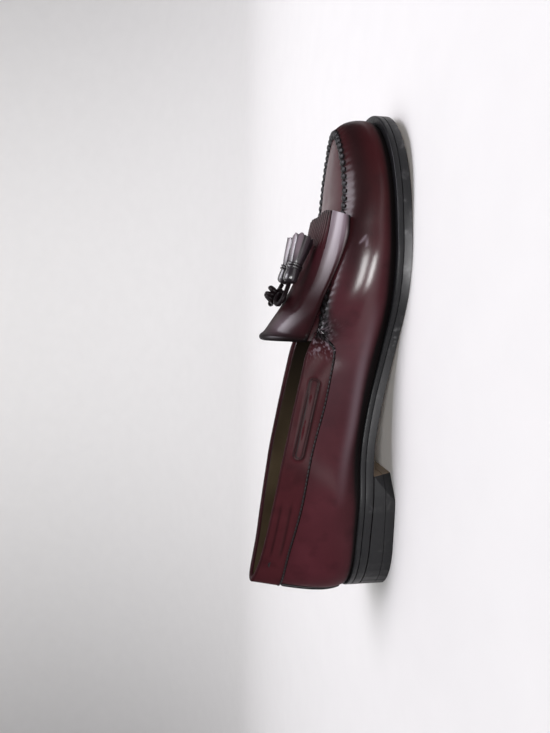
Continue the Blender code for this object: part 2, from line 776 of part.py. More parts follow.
def build_kiltie(surface, parent):
    bounds = strip_edges()
    slit = 0.5 * SLIT_WIDTH / (KILTIE["inner"].max() * BALL_WIDTH)
    across = [bounds[0], 0.5 * (bounds[0] + bounds[1])]
    is_slit = [False]
    for bound in bounds[1:-1]:
        across += [bound - slit, bound + slit]
        is_slit += [False, True]
    across += [0.5 * (bounds[-2] + bounds[-1]), bounds[-1]]
    is_slit += [False, False]
    across = np.array(across)
    root = 1.0 - FRINGE_LENGTH / (KILTIE_FRONT - KILTIE_BACK)
    along = np.concatenate([np.linspace(0.0, root, 9), np.linspace(root, 1.0, 4)[1:]])
    grid_along, grid_across = np.meshgrid(along, across, indexing="ij")
    under = kiltie_point(grid_along, grid_across)
    d_along = np.gradient(under, axis=0)
    d_across = np.gradient(under, axis=1)
    normal = np.cross(d_along, d_across)
    normal = normal / np.linalg.norm(normal, axis=-1, keepdims=True)
    present = np.ones((len(along) - 1, len(across) - 1), dtype=bool)
    fringe = along[:-1] >= root - 1e-6
    present[np.ix_(fringe, np.array(is_slit))] = False
    points, faces = grid_sheet(under, under + normal * KILTIE_THICKNESS, present)
    return add_solid("kiltie", points, faces, surface, parent)


# Knot, lace ends and tassels

def kiltie_top(x, y=0.0):
    """Height of the kiltie's upper face near the middle of the instep."""
    along = (x - KILTIE_BACK) / (KILTIE_FRONT - KILTIE_BACK)
    half = float(read(KILTIE, "inner" if y < 0 else "outer", along)) * BALL_WIDTH
    below = kiltie_point(np.array([along - 0.02, along + 0.02]), np.array([y / half, y / half]))
    slope = (below[1, 2] - below[0, 2]) / (below[1, 0] - below[0, 0])
    return float(below[:, 2].mean()) + KILTIE_THICKNESS * math.sqrt(1.0 + slope * slope)


def build_knot(surface, parent):
    """The tied knot: a squat lump with the lace's wraps as shallow waves."""
    centre = np.array([KNOT_X, 0.0, kiltie_top(KNOT_X) + 0.5 * KNOT_HEIGHT + KNOT_CLEARANCE])
    tilt = math.atan2(kiltie_top(KNOT_X - 0.005) - kiltie_top(KNOT_X + 0.005), 0.010)
    rings = 9
    sides = 16
    points = [(-0.5, 0.0, 0.0)]
    for i in range(1, rings):
        angle = math.pi * i / rings
        for k in range(sides):
            turn = 2.0 * math.pi * k / sides
            wave = 1.0 - KNOT_WAVE * math.cos(2.0 * math.pi * 3.0 * i / rings)
            points.append((-0.5 * math.cos(angle), 0.5 * wave * math.sin(angle)**0.7 * math.cos(turn),
                           0.5 * wave * math.sin(angle)**0.7 * math.sin(turn)))
    points.append((0.5, 0.0, 0.0))
    points = np.array(points) * np.array([KNOT_LENGTH, KNOT_WIDTH, KNOT_HEIGHT])
    c, s = math.cos(tilt), math.sin(tilt)
    turned = np.column_stack([c * points[:, 0] + s * points[:, 2], points[:, 1],
                              -s * points[:, 0] + c * points[:, 2]])
    faces = [(0, 1 + k, 1 + (k + 1) % sides) for k in range(sides)]
    for i in range(rings - 2):
        a = 1 + i * sides
        faces += [(a + k, a + sides + k, a + sides + (k + 1) % sides, a + (k + 1) % sides)
                  for k in range(sides)]
    last = 1 + (rings - 2) * sides
    faces += [(len(points) - 1, last + (k + 1) % sides, last + k) for k in range(sides)]
    return add_solid("lace_knot", turned + centre, faces, surface, parent, angle=80.0)


def smooth_route(points, spacing):
    """Points at an even spacing on a smooth curve through the route's own points."""
    points = np.array(points)
    chord = np.concatenate([[0.0], np.cumsum(np.linalg.norm(np.diff(points, axis=0), axis=1))])
    fine = np.linspace(0.0, chord[-1], 400)
    rows = {"share": chord / chord[-1], "x": points[:, 0], "y": points[:, 1], "z": points[:, 2]}
    curve = np.stack([read(rows, axis, fine / chord[-1]) for axis in "xyz"], axis=-1)
    length = np.concatenate([[0.0], np.cumsum(np.linalg.norm(np.diff(curve, axis=0), axis=1))])
    count = max(2, int(round(length[-1] / spacing)) + 1)
    at = np.linspace(0.0, length[-1], count)
    return np.stack([np.interp(at, length, curve[:, k]) for k in range(3)], axis=-1)


# Routes of the two free lace ends from the knot to their tassels, by hand:
# length along the shoe, distance from its middle, height over the sole's rest plane
LACE_ROUTES = {
    "inner": ((0.1917, -0.0062, 0.0697), (0.1903, -0.0093, 0.0716), (0.1880, -0.0117, 0.0728),
              (0.1858, -0.0145, 0.0732), (0.1852, -0.0176, 0.0723), (0.1868, -0.0201, 0.0708),
              (0.1897, -0.0209, 0.0693), (0.1926, -0.0201, 0.0680), (0.1950, -0.0186, 0.0669),
              (0.1979, -0.0166, 0.0656)),
    "outer": ((0.1917, 0.0062, 0.0697), (0.1902, 0.0089, 0.0714), (0.1879, 0.0114, 0.0725),
              (0.1859, 0.0142, 0.0728), (0.1854, 0.0172, 0.0718), (0.1871, 0.0197, 0.0702),
              (0.1901, 0.0204, 0.0686), (0.1930, 0.0196, 0.0672), (0.1955, 0.0181, 0.0661),
              (0.1986, 0.0158, 0.0646)),
}
# The point that each tassel's tail reaches towards from its lace end
TASSEL_TAILS = {
    "inner": (0.2290, -0.0100, 0.0546),
    "outer": (0.2290, 0.0105, 0.0548),
}


def build_lace_end(label, surface, parent):
    route = smooth_route(LACE_ROUTES[label], LACE_STEP)
    curve = bpy.data.curves.new("lace_end_" + label, "CURVE")
    curve.dimensions = "3D"
    curve.bevel_depth = 0.5 * LACE_DIAMETER
    curve.bevel_resolution = 2
    curve.use_fill_caps = True
    spline = curve.splines.new("POLY")
    spline.points.add(len(route) - 1)
    for point, place in zip(spline.points, route):
        point.co = (*place, 1.0)
    curve.materials.append(surface)
    made = bpy.data.objects.new("lace_end_" + label, curve)
    bpy.context.scene.collection.objects.link(made)
    made.parent = parent
    return made


def build_tassel(label, surface, parent):
    """Rolled head, wrapped neck and a flared fringe of strips, as one solid."""
    lace_end = np.array(LACE_ROUTES[label][-1])
    axis = np.array(TASSEL_TAILS[label]) - lace_end
    axis = axis / np.linalg.norm(axis)
    head = lace_end + axis * (GAP + 0.15 * LACE_DIAMETER)
    side = np.cross((0.0, 0.0, 1.0), axis)
    side = side / np.linalg.norm(side)
    above = np.cross(axis, side)
    wrap_end = TASSEL_HEAD_SHARE + 0.04
    wrap_start = wrap_end - TASSEL_WRAP_SHARE
    head_radius = TASSEL_HEAD_RADIUS
    profile = ((0.00, 0.55 * head_radius), (0.03, 0.90 * head_radius), (0.10, head_radius),
               (wrap_start - 0.01, head_radius), (wrap_start, TASSEL_WRAP_RADIUS),
               (wrap_end - 0.01, TASSEL_WRAP_RADIUS), (wrap_end, head_radius))
    sides = 3 * TASSEL_STRIPS
    rings = []
    for along, radius in profile:
        ring = []
        for k in range(sides):
            turn = 2.0 * math.pi * k / sides
            ring.append((along * TASSEL_LENGTH, radius * math.cos(turn), radius * math.sin(turn)))
        rings.append(ring)
    thick = TASSEL_STRIP_THICKNESS
    fringe = ((0.0, 0.12), (0.0, 0.45), (0.0, 0.8), (0.0, 1.0), (thick, 1.0), (2.0 * thick, 0.8))
    for depth, flare in fringe:
        ring = []
        for k in range(sides):
            strip = k // 3
            in_slit = k % 3 == 2
            ragged = 0.0012 * math.sin(2.4 * strip + 0.7) + 0.0009 * math.sin(5.1 * strip)
            last = TASSEL_LENGTH - 0.0015 + ragged
            start = wrap_end * TASSEL_LENGTH
            along = start + (last - start) * flare
            radius = TASSEL_HEAD_RADIUS + (TASSEL_TAIL_RADIUS - TASSEL_HEAD_RADIUS) * flare**0.8
            radius -= depth + (TASSEL_SLIT_DEPTH if in_slit else 0.0) * min(1.0, 3.0 * flare)
            turn = 2.0 * math.pi * (strip + (0.06, 0.80, 0.93)[k % 3]) / TASSEL_STRIPS
            ring.append((along, radius * math.cos(turn), radius * math.sin(turn)))
        rings.append(ring)
    points = [p for ring in rings for p in ring]
    faces = []
    for i in range(len(rings) - 1):
        a, b = i * sides, (i + 1) * sides
        faces += [(a + k, a + (k + 1) % sides, b + (k + 1) % sides, b + k) for k in range(sides)]
    points.append((0.0, 0.0, 0.0))
    faces += [(len(points) - 1, (k + 1) % sides, k) for k in range(sides)]
    points.append((TASSEL_LENGTH * 0.80, 0.0, 0.0))
    last = (len(rings) - 1) * sides
    faces += [(len(points) - 1, last + k, last + (k + 1) % sides) for k in range(sides)]
    placed = [head + p[0] * axis + p[1] * side + p[2] * above for p in points]
    return add_solid("tassel_" + label, placed, faces, surface, parent)


def middle_under(made):
    """Middle of the made objects in plan, from their own points."""
    points = np.array([tuple(v.co) for m in made for v in m.data.vertices])
    return 0.5 * (points.min(axis=0) + points.max(axis=0))


def main():
    for old in list(bpy.data.objects):
        bpy.data.objects.remove(old, do_unlink=True)
    origin = bpy.data.objects.new("shoe_origin", None)
    bpy.context.scene.collection.objects.link(origin)

    burgundy = (0.105, 0.014, 0.019)
    upper_leather = material("upper_leather", burgundy, 0.28)
    band_leather = material("band_leather", (0.115, 0.017, 0.022), 0.30)
    stay_leather = material("stay_leather", (0.012, 0.010, 0.011), 0.40)
    kiltie_leather = material("kiltie_leather", burgundy, 0.26)
    tassel_leather = material("tassel_leather", (0.060, 0.012, 0.015), 0.35)
    lace_leather = material("lace_leather", (0.022, 0.010, 0.011), 0.42)
    edge_leather = material("edge_leather", (0.012, 0.012, 0.013), 0.45)
    welt_leather = material("welt_leather", (0.011, 0.011, 0.012), 0.42)
    heel_leather = material("heel_leather", (0.016, 0.015, 0.016), 0.45)
    heel_rubber = material("heel_rubber", (0.020, 0.020, 0.021), 0.60)
    lining_leather = material("insole_leather", (0.200, 0.130, 0.070), 0.60)

    fixed = [
        build_outsole(edge_leather, origin),
        build_welt(welt_leather, origin),
        build_upper(upper_leather, origin),
    ]
    build_heel(heel_leather, heel_rubber, origin)
    build_insole(lining_leather, origin)
    fixed.append(build_back_stay(stay_leather, origin))
    build_collar_band(band_leather, origin)
    build_kiltie(kiltie_leather, origin)
    build_knot(lace_leather, origin)
    for side, label in ((-1, "inner"), (1, "outer")):
        build_slot_lace(side, label, lace_leather, origin)
        build_lace_end(label, lace_leather, origin)
        build_tassel(label, tassel_leather, origin)

    middle = middle_under(fixed)
    origin.location = (-middle[0], -middle[1], 0.0)
    bpy.context.view_layer.update()


main()
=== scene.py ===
"""Looks of a polished oxblood kiltie tassel loafer for a left foot.

Metres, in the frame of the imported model: +X to the toe, +Y to the outer side of the foot,
+Z up, floor at z = 0. Shapes are worked out in the sole's own frame, where x is 0 at the
back of the heel, and each mesh moves into the model's frame as it is made.

A place on the walls has two values. Around runs from -1 at the toe along the inner side to
0 at the back of the heel and along the outer side to +1. Up is 0 at the welt, 1 at the rim.
"""
import math

import bpy
import numpy as np
from mathutils import Matrix, Vector, noise


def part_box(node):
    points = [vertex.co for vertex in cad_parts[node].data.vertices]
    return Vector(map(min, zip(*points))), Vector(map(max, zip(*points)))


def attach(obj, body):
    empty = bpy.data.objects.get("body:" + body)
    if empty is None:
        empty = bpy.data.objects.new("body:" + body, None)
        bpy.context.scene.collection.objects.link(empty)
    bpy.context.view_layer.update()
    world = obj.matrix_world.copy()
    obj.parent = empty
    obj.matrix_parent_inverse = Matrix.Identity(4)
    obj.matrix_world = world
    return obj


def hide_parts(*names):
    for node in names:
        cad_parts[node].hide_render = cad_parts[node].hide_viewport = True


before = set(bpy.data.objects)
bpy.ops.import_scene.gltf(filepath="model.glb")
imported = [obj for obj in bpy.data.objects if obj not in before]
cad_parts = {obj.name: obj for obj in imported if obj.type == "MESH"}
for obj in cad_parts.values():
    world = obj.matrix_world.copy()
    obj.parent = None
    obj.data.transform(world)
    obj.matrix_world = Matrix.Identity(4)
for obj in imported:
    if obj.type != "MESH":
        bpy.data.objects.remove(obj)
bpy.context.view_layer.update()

# Sizes that the solids have too
SOLE_LENGTH = 0.302
BALL_WIDTH = 0.107
OUTSOLE_THICKNESS = 0.0052
WELT_THICKNESS = 0.0033
INSOLE_THICKNESS = 0.0035
HEEL_HEIGHT_BACK = 0.0165
HEEL_HEIGHT_FRONT = 0.0133
HEEL_LENGTH = 0.0801
TOE_SPRING = 0.0067
BALL_START = 0.1813
BALL_END = 0.2117
TOE_SHIFT = -0.0053
WALL = 0.0020
COLLAR_HEIGHT = 0.0598
TOE_HEIGHT = 0.0225
RIM_BACK = 0.0045
RIM_FRONT = 0.2930
THROAT = 0.1630
INSTEP_RISE = 0.0262
SEAM_WIDTH = 0.0040
SEAM_WIDTH_AT_THROAT = 0.0015
SEAM_HEIGHT = 0.0016
SEAM_FADE = 0.0100
BAND_THICKNESS = 0.0013
BAND_FRONT = 0.1685
BAND_TOP_INSET = 0.0006
STAY_THICKNESS = 0.0014
STAY_WIDTH = 0.0180
KILTIE_THICKNESS = 0.0021
KILTIE_BACK = 0.1625
KILTIE_FRONT = 0.2430
KILTIE_LIFT = 0.0011
FRINGE_LENGTH = 0.0240
FRINGE_SWEEP = 0.0060
FRINGE_STRIPS = 11
SIDE_STRIP_SHARE = 1.9
SLIT_WIDTH = 0.0006
LACE_DIAMETER = 0.0028
LACE_THICKNESS = 0.0013
SLOT_WIDTH = 0.0052
SLOT_BACK = 0.0920
SLOT_BACK_HEIGHT = 0.845
SLOT_FRONT = 0.1400
SLOT_FRONT_HEIGHT = 0.835
KNOT_LENGTH = 0.0110
KNOT_WIDTH = 0.0105
KNOT_HEIGHT = 0.0078
TASSEL_LENGTH = 0.0316
TASSEL_HEAD_RADIUS = 0.0044
TASSEL_TAIL_RADIUS = 0.0073
TASSEL_HEAD_SHARE = 0.34
TASSEL_STRIPS = 9
GAP = 0.0003
HEEL_COLUMNS = 20
TOE_COLUMNS = 16

# Finish
STITCH_PITCH = 0.0045
THREAD_RADIUS = 0.00165
THREAD_FLATNESS = 0.36
PUCKER_DEPTH = 0.00026
PUCKER_REACH = 0.0040
BAND_STITCH_PITCH = 0.0026
BAND_STITCH_INSET = 0.0011
BAND_THREAD_RADIUS = 0.00046
REAR_SPACING = 0.0015
FRONT_SPACING = 0.00078
SOLE_SPACING = 0.0012
WELT_SPACING = 0.0008
INSOLE_SPACING = 0.0020
BAND_ROWS = 30
BAND_SWEEP_X = 0.1560
BAND_SWEEP_LENGTH = 0.0150
BAND_SWEEP_TOP = 0.93
GATHER_X = 0.1670
GATHER_DEPTH = 0.00100
SIDES = ((-1.0, "inner"), (1.0, "outer"))
KILTIE_LENGTH = KILTIE_FRONT - KILTIE_BACK
KILTIE_ROLL = 0.0011
STRIP_CROWN = 0.00028


def table(names, *rows):
    """A small table with named columns; each is read at any share between its rows."""
    return dict(zip(names.split(), np.array(rows, dtype=float).T))


# The tables of the solids: outline of the sole, rim, walls, crown and overlays. Here the lower inner
# wall of the vamp is up to 1 mm fuller, from share 0.63 on, and band_low sweeps the band's front end up.
OUTLINE = table(
    "share  inner  outer  inset_inner  inset_outer",
    (0.00, 0.301, 0.325, 0.014, 0.014),
    (0.12, 0.320, 0.345, 0.014, 0.014),
    (0.22, 0.336, 0.348, 0.016, 0.018),
    (0.34, 0.266, 0.358, 0.018, 0.024),
    (0.44, 0.260, 0.385, 0.022, 0.030),
    (0.54, 0.324, 0.430, 0.032, 0.038),
    (0.64, 0.453, 0.480, 0.046, 0.048),
    (0.71, 0.482, 0.500, 0.050, 0.050),
    (0.78, 0.465, 0.490, 0.050, 0.050),
    (0.86, 0.447, 0.445, 0.050, 0.050),
    (1.00, 0.441, 0.360, 0.048, 0.048),
)
SOLE_ENDS = {"heel": 0.125, "heel_power": 2.15, "toe": 0.20, "toe_power": 2.2}
RIM = table(
    "share  inner  outer  height_inner  height_outer",
    (0.000, 0.235, 0.235, 1.000, 1.000),
    (0.020, 0.228, 0.228, 0.960, 0.960),
    (0.065, 0.228, 0.230, 0.890, 0.880),
    (0.135, 0.258, 0.260, 0.825, 0.795),
    (0.197, 0.270, 0.272, 0.770, 0.730),
    (0.282, 0.280, 0.282, 0.690, 0.655),
    (0.338, 0.280, 0.284, 0.656, 0.625),
    (0.407, 0.272, 0.280, 0.637, 0.612),
    (0.467, 0.263, 0.274, 0.616, 0.600),
    (0.528, 0.255, 0.270, 0.575, 0.562),
    (0.559, 0.264, 0.276, 0.508, 0.500),
    (0.593, 0.290, 0.300, 0.435, 0.430),
    (0.645, 0.313, 0.336, 0.379, 0.375),
    (0.714, 0.327, 0.360, 0.277, 0.275),
    (0.783, 0.327, 0.364, 0.175, 0.170),
    (0.841, 0.314, 0.346, 0.095, 0.090),
    (0.903, 0.300, 0.327, 0.062, 0.045),
    (0.955, 0.275, 0.295, 0.036, 0.010),
    (1.000, 0.215, 0.225, 0.000, 0.000),
)
RIM_ENDS = {"heel": 0.30, "heel_power": 2.0, "toe": 0.20, "toe_power": 2.2}
WALLS = table(
    "share  foot_out_inner  foot_up_inner  top_out_inner  top_down_inner"
    "  foot_out_outer  foot_up_outer  top_out_outer  top_down_outer",
    (0.00, 0.110, 0.18, 0.085, 0.45, 0.110, 0.18, 0.085, 0.45),
    (0.20, 0.095, 0.27, 0.065, 0.40, 0.075, 0.27, 0.065, 0.40),
    (0.36, 0.130, 0.27, 0.070, 0.40, 0.050, 0.27, 0.090, 0.42),
    (0.50, 0.130, 0.27, 0.140, 0.38, 0.055, 0.27, 0.180, 0.36),
    (0.63, 0.150, 0.28, 0.290, 0.24, 0.070, 0.36, 0.310, 0.24),
    (0.76, 0.185, 0.25, 0.300, 0.19, 0.110, 0.38, 0.330, 0.19),
    (0.88, 0.200, 0.27, 0.300, 0.17, 0.130, 0.38, 0.320, 0.17),
    (1.00, 0.190, 0.34, 0.280, 0.15, 0.190, 0.34, 0.280, 0.15),
)
CROWN = table(
    "share  rise  power",
    (0.5517, 1.000, 2.6),
    (0.5900, 0.860, 2.5),
    (0.6300, 0.630, 2.4),
    (0.6900, 0.380, 2.4),
    (0.7650, 0.200, 2.4),
    (0.8170, 0.160, 2.5),
    (0.8500, 0.135, 2.6),
    (0.9030, 0.115, 2.8),
    (0.9550, 0.075, 2.8),
    (1.0000, 0.000, 2.8),
)
BAND = table(
    "share  inner  outer",
    (0.00, 0.690, 0.690),
    (0.08, 0.710, 0.705),
    (0.20, 0.667, 0.662),
    (0.33, 0.645, 0.640),
    (0.42, 0.612, 0.607),
    (0.47, 0.622, 0.617),
    (0.52, 0.640, 0.635),
    (0.58, 0.780, 0.780),
)
KILTIE = table(
    "share  inner  outer  edge  power",
    (0.00, 0.258, 0.262, 0.150, 2.5),
    (0.17, 0.290, 0.300, 0.160, 2.4),
    (0.34, 0.330, 0.350, 0.085, 2.4),
    (0.50, 0.358, 0.385, -0.015, 2.8),
    (0.68, 0.385, 0.412, -0.100, 4.6),
    (0.85, 0.405, 0.430, -0.135, 7.0),
    (1.00, 0.398, 0.422, -0.095, 7.5),
)
# Routes of the two free lace ends, as the solids have them
LACE_ROUTES = {
    "inner": ((0.1917, -0.0062, 0.0697), (0.1903, -0.0093, 0.0716), (0.1880, -0.0117, 0.0728),
              (0.1858, -0.0145, 0.0732), (0.1852, -0.0176, 0.0723), (0.1868, -0.0201, 0.0708),
              (0.1897, -0.0209, 0.0693), (0.1926, -0.0201, 0.0680), (0.1950, -0.0186, 0.0669),
              (0.1979, -0.0166, 0.0656)),
    "outer": ((0.1917, 0.0062, 0.0697), (0.1902, 0.0089, 0.0714), (0.1879, 0.0114, 0.0725),
              (0.1859, 0.0142, 0.0728), (0.1854, 0.0172, 0.0718), (0.1871, 0.0197, 0.0702),
              (0.1901, 0.0204, 0.0686), (0.1930, 0.0196, 0.0672), (0.1955, 0.0181, 0.0661),
              (0.1986, 0.0158, 0.0646)),
}
TASSEL_TAILS = {"inner": (0.2290, -0.0100, 0.0546), "outer": (0.2290, 0.0105, 0.0548)}


def read(rows, column, share):
    """The table's column at a share, on a smooth curve through its rows."""
    xs = rows["share"]
    ys = rows[column]
    share = np.clip(np.asarray(share, dtype=float), xs[0], xs[-1])
    steps = np.diff(xs)
    slopes = np.diff(ys) / steps
    tangents = np.empty_like(ys)
    tangents[0] = slopes[0]
    tangents[-1] = slopes[-1]
    tangents[1:-1] = (slopes[:-1] * steps[1:] + slopes[1:] * steps[:-1]) / (steps[1:] + steps[:-1])
    i = np.clip(np.searchsorted(xs, share) - 1, 0, len(xs) - 2)
    t = (share - xs[i]) / steps[i]
    return ((2 * t**3 - 3 * t**2 + 1) * ys[i] + (t**3 - 2 * t**2 + t) * steps[i] * tangents[i]
            + (3 * t**2 - 2 * t**3) * ys[i + 1] + (t**3 - t**2) * steps[i] * tangents[i + 1])


def both(rows, column, around):
    """The column of the side that each place is on, whose name ends in inner or outer."""
    share = share_at(around)
    inner, outer = read(rows, column + "inner", share), read(rows, column + "outer", share)
    return np.where(wrap(around) < 0.0, inner, outer)


def unit(vectors):
    """The vectors at length 1."""
    return vectors / np.maximum(np.linalg.norm(vectors, axis=-1, keepdims=True), 1e-12)


def run_lengths(line):
    """Distance along a line of points, from its first point to each one."""
    return np.concatenate([[0.0], np.cumsum(np.linalg.norm(np.diff(line, axis=0), axis=1))])


def smoothstep(x):
    """Smooth rise from 0 to 1 between 0 and 1."""
    x = np.clip(x, 0.0, 1.0)
    return x * x * (3.0 - 2.0 * x)


def bell(x):
    """1 in the middle, falling off smoothly to both sides."""
    return np.exp(-np.asarray(x)**2)


# Places around the shoe

def wrap(around):
    """The place brought between -1 and 1."""
    return (np.asarray(around, dtype=float) + 1.0) % 2.0 - 1.0


THROAT_SHARE = (THROAT - RIM_BACK) / (RIM_FRONT - RIM_BACK)
THROAT_AROUND = HEEL_COLUMNS / (HEEL_COLUMNS + TOE_COLUMNS)


def share_at(around):
    """Share of the length from the rim's back to its front at each place."""
    q = np.abs(wrap(around))
    back = THROAT_SHARE * (1.0 - np.cos(0.5 * math.pi * np.minimum(q / THROAT_AROUND, 1.0)))
    front_angle = 0.5 * math.pi * np.clip((q - THROAT_AROUND) / (1.0 - THROAT_AROUND), 0.0, 1.0)
    return back + (1.0 - THROAT_SHARE) * np.sin(front_angle)


def around_at(share):
    """The outer side's place at each share of that length."""
    share = np.asarray(share, dtype=float)
    back = np.arccos(np.clip(1.0 - share / THROAT_SHARE, -1.0, 1.0)) * 2.0 / math.pi
    front = np.arcsin(np.clip((share - THROAT_SHARE) / (1.0 - THROAT_SHARE), 0.0, 1.0))
    return np.where(share < THROAT_SHARE, THROAT_AROUND * back,
                    THROAT_AROUND + (1.0 - THROAT_AROUND) * front * 2.0 / math.pi)


def around_at_x(x):
    """The outer side's place at a length along the shoe."""
    return around_at((np.asarray(x, dtype=float) - RIM_BACK) / (RIM_FRONT - RIM_BACK))


def x_at(around):
    """Length along the shoe at each place of the rim."""
    return share_at(around) * (RIM_FRONT - RIM_BACK) + RIM_BACK


def even_places(curve, last, spacing):
    """Places from the heel on along one side, evenly spaced along a curve."""
    dense = np.linspace(0.0, last, 3001)
    run = run_lengths(curve(dense))
    return np.interp(np.linspace(0.0, run[-1], int(run[-1] / spacing) + 1), run, dense)


def full_loop(half):
    """The places of one side mirrored to both, as a closed loop."""
    return np.concatenate([-half[:0:-1], half[:-1]])


def rounding(share, ends):
    """How far the width has closed in at the heel and the toe; 1 between them."""
    heel = np.clip((ends["heel"] - share) / ends["heel"], 0.0, 1.0)
    toe = np.clip((share - 1.0 + ends["toe"]) / ends["toe"], 0.0, 1.0)
    return ((1.0 - heel**ends["heel_power"])**(1.0 / ends["heel_power"])
            * (1.0 - toe**ends["toe_power"])**(1.0 / ends["toe_power"]))


def plan(around, rows, ends, back, front):
    """Line round the shoe seen from above, from a table of half widths."""
    share = share_at(around)
    side = np.where(wrap(around) < 0.0, -1.0, 1.0)
    width = side * both(rows, "", around) * BALL_WIDTH * rounding(share, ends)
    bend = TOE_SHIFT * np.clip((share - THROAT_SHARE) / (1.0 - THROAT_SHARE), 0.0, 1.0)**2
    return np.stack([back + (front - back) * share, bend + width], axis=-1)


def sole_edge(around):
    return plan(around, OUTLINE, SOLE_ENDS, 0.0, SOLE_LENGTH)


def rim_plan(around):
    return plan(around, RIM, RIM_ENDS, RIM_BACK, RIM_FRONT)


def outward(curve, around):
    """Level direction away from the shoe at each place of a line."""
    step = 0.003
    along = unit(curve(around + step) - curve(around - step))
    return np.stack([-along[..., 1], along[..., 0]], axis=-1)


def feather(around, extra=0.0):
    """Line where the walls stand on the welt, set in from the sole's edge."""
    inset = both(OUTLINE, "inset_", around) * BALL_WIDTH + extra
    return sole_edge(around) - outward(sole_edge, around) * inset[..., None]


def outsole_bottom(x):
    """Height of the sole's underside: heel seat, arch, ball and toe spring."""
    x = np.asarray(x, dtype=float)
    slope = (HEEL_HEIGHT_FRONT - HEEL_HEIGHT_BACK) / HEEL_LENGTH
    heel = HEEL_HEIGHT_BACK + slope * x
    span = BALL_START - HEEL_LENGTH
    t = np.clip((x - HEEL_LENGTH) / span, 0.0, 1.0)
    arch = (2 * t**3 - 3 * t**2 + 1) * HEEL_HEIGHT_FRONT + (t**3 - 2 * t**2 + t) * span * slope * 1.4
    toe = TOE_SPRING * np.clip((x - BALL_END) / (SOLE_LENGTH - BALL_END), 0.0, 1.2)**2
    return np.where(x < HEEL_LENGTH, heel, arch) + toe


def outsole_top(x):
    return outsole_bottom(x) + OUTSOLE_THICKNESS


def welt_bottom(x):
    return outsole_top(x) + GAP


def welt_top(x):
    return welt_bottom(x) + WELT_THICKNESS


def insole_top(x):
    return outsole_top(x) + GAP + INSOLE_THICKNESS


def rim_point(around):
    flat = rim_plan(around)
    rise = both(RIM, "height_", around)
    z = welt_top(flat[..., 0]) + TOE_HEIGHT + rise * (COLLAR_HEIGHT - TOE_HEIGHT)
    return np.concatenate([flat, z[..., None]], axis=-1)


def wall(around, up):
    """Plain outer face of the upper's wall."""
    around = np.asarray(around, dtype=float)
    up = np.asarray(up, dtype=float)[..., None]
    flat = feather(around)
    foot = np.concatenate([flat, welt_top(flat[..., 0])[..., None]], axis=-1)
    top = rim_point(around)
    height = (top[..., 2] - foot[..., 2])[..., None]
    foot_out = outward(feather, around) * height * both(WALLS, "foot_out_", around)[..., None]
    foot_up = height * both(WALLS, "foot_up_", around)[..., None]
    top_out = outward(rim_plan, around) * height * both(WALLS, "top_out_", around)[..., None]
    top_down = height * both(WALLS, "top_down_", around)[..., None]
    first = foot + np.concatenate([foot_out, foot_up], axis=-1)
    second = top + np.concatenate([top_out, -top_down], axis=-1)
    rest = 1.0 - up
    return rest**3 * foot + 3 * rest**2 * up * first + 3 * rest * up**2 * second + up**3 * top


def wall_normal(around, up):
    """Unit normal of the wall's outer face."""
    around = np.asarray(around, dtype=float)
    up = np.clip(np.asarray(up, dtype=float), 0.01, 0.99)
    along = wall(around + 0.004, up) - wall(around - 0.004, up)
    rise = wall(around, up + 0.01) - wall(around, up - 0.01)
    return unit(np.cross(rise, along))


def wall_height(around):
    """Height from the welt to the rim."""
    return rim_point(around)[..., 2] - welt_top(feather(around)[..., 0])


def ups_at(places, shares):
    """Values of up where the wall has climbed each share of its height, place by place."""
    samples = np.linspace(0.0, 1.0, 41)
    z = wall(*np.meshgrid(places, samples, indexing="ij"))[..., 2]
    rise = (z - z[:, :1]) / (z[:, -1:] - z[:, :1])
    return np.array([np.interp(s, r, samples) for s, r in zip(shares, rise)])


def seam_fade(around):
    """0 at the throat, 1 where the moccasin seam has its full size."""
    return smoothstep((x_at(around) - BAND_FRONT) / SEAM_FADE)


def seam_width(around):
    return SEAM_WIDTH_AT_THROAT + (SEAM_WIDTH - SEAM_WIDTH_AT_THROAT) * seam_fade(around)


def seam_point(around, inset_share, height_share):
    """Point of the seam; the shares run inward from the rim and up to its ridge."""
    point = rim_point(around)
    shift = outward(rim_plan, around) * (seam_width(around) * inset_share)[..., None]
    lift = SEAM_HEIGHT * height_share * seam_fade(around)
    return np.concatenate([point[..., :2] - shift, (point[..., 2] + lift)[..., None]], axis=-1)


def plug_point(around, across):
    """Point of the plug between the two halves of the seam."""
    around = np.abs(np.asarray(around, dtype=float))
    across = np.asarray(across, dtype=float)
    inner = seam_point(-around, np.ones_like(around), 0.0)
    outer = seam_point(around, np.ones_like(around), 0.0)
    point = inner + (outer - inner) * (0.5 + 0.5 * across)[..., None]
    share = share_at(around)
    rise = INSTEP_RISE * read(CROWN, "rise", share)
    point[..., 2] += rise * (1.0 - np.abs(across)**read(CROWN, "power", share))
    return point


# Into the model's frame: the sole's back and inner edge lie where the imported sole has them
EDGE_LOOP = sole_edge(np.linspace(-1.0, 1.0, 721))
SOLE_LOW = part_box("outsole")[0]
SHIFT = np.array([SOLE_LOW.x, SOLE_LOW.y - EDGE_LOOP[:, 1].min(), 0.0])


# Mesh helpers

def quads(rows, columns, closed=False, present=None):
    """Faces of a grid of points; with closed, the last column joins the first."""
    i, j = np.meshgrid(np.arange(rows - 1), np.arange(columns if closed else columns - 1), indexing="ij")
    n = (j + 1) % columns
    low, high = i * columns, (i + 1) * columns
    faces = np.stack([low + j, low + n, high + n, high + j], axis=-1)
    return faces.reshape(-1, 4) if present is None else faces[present]


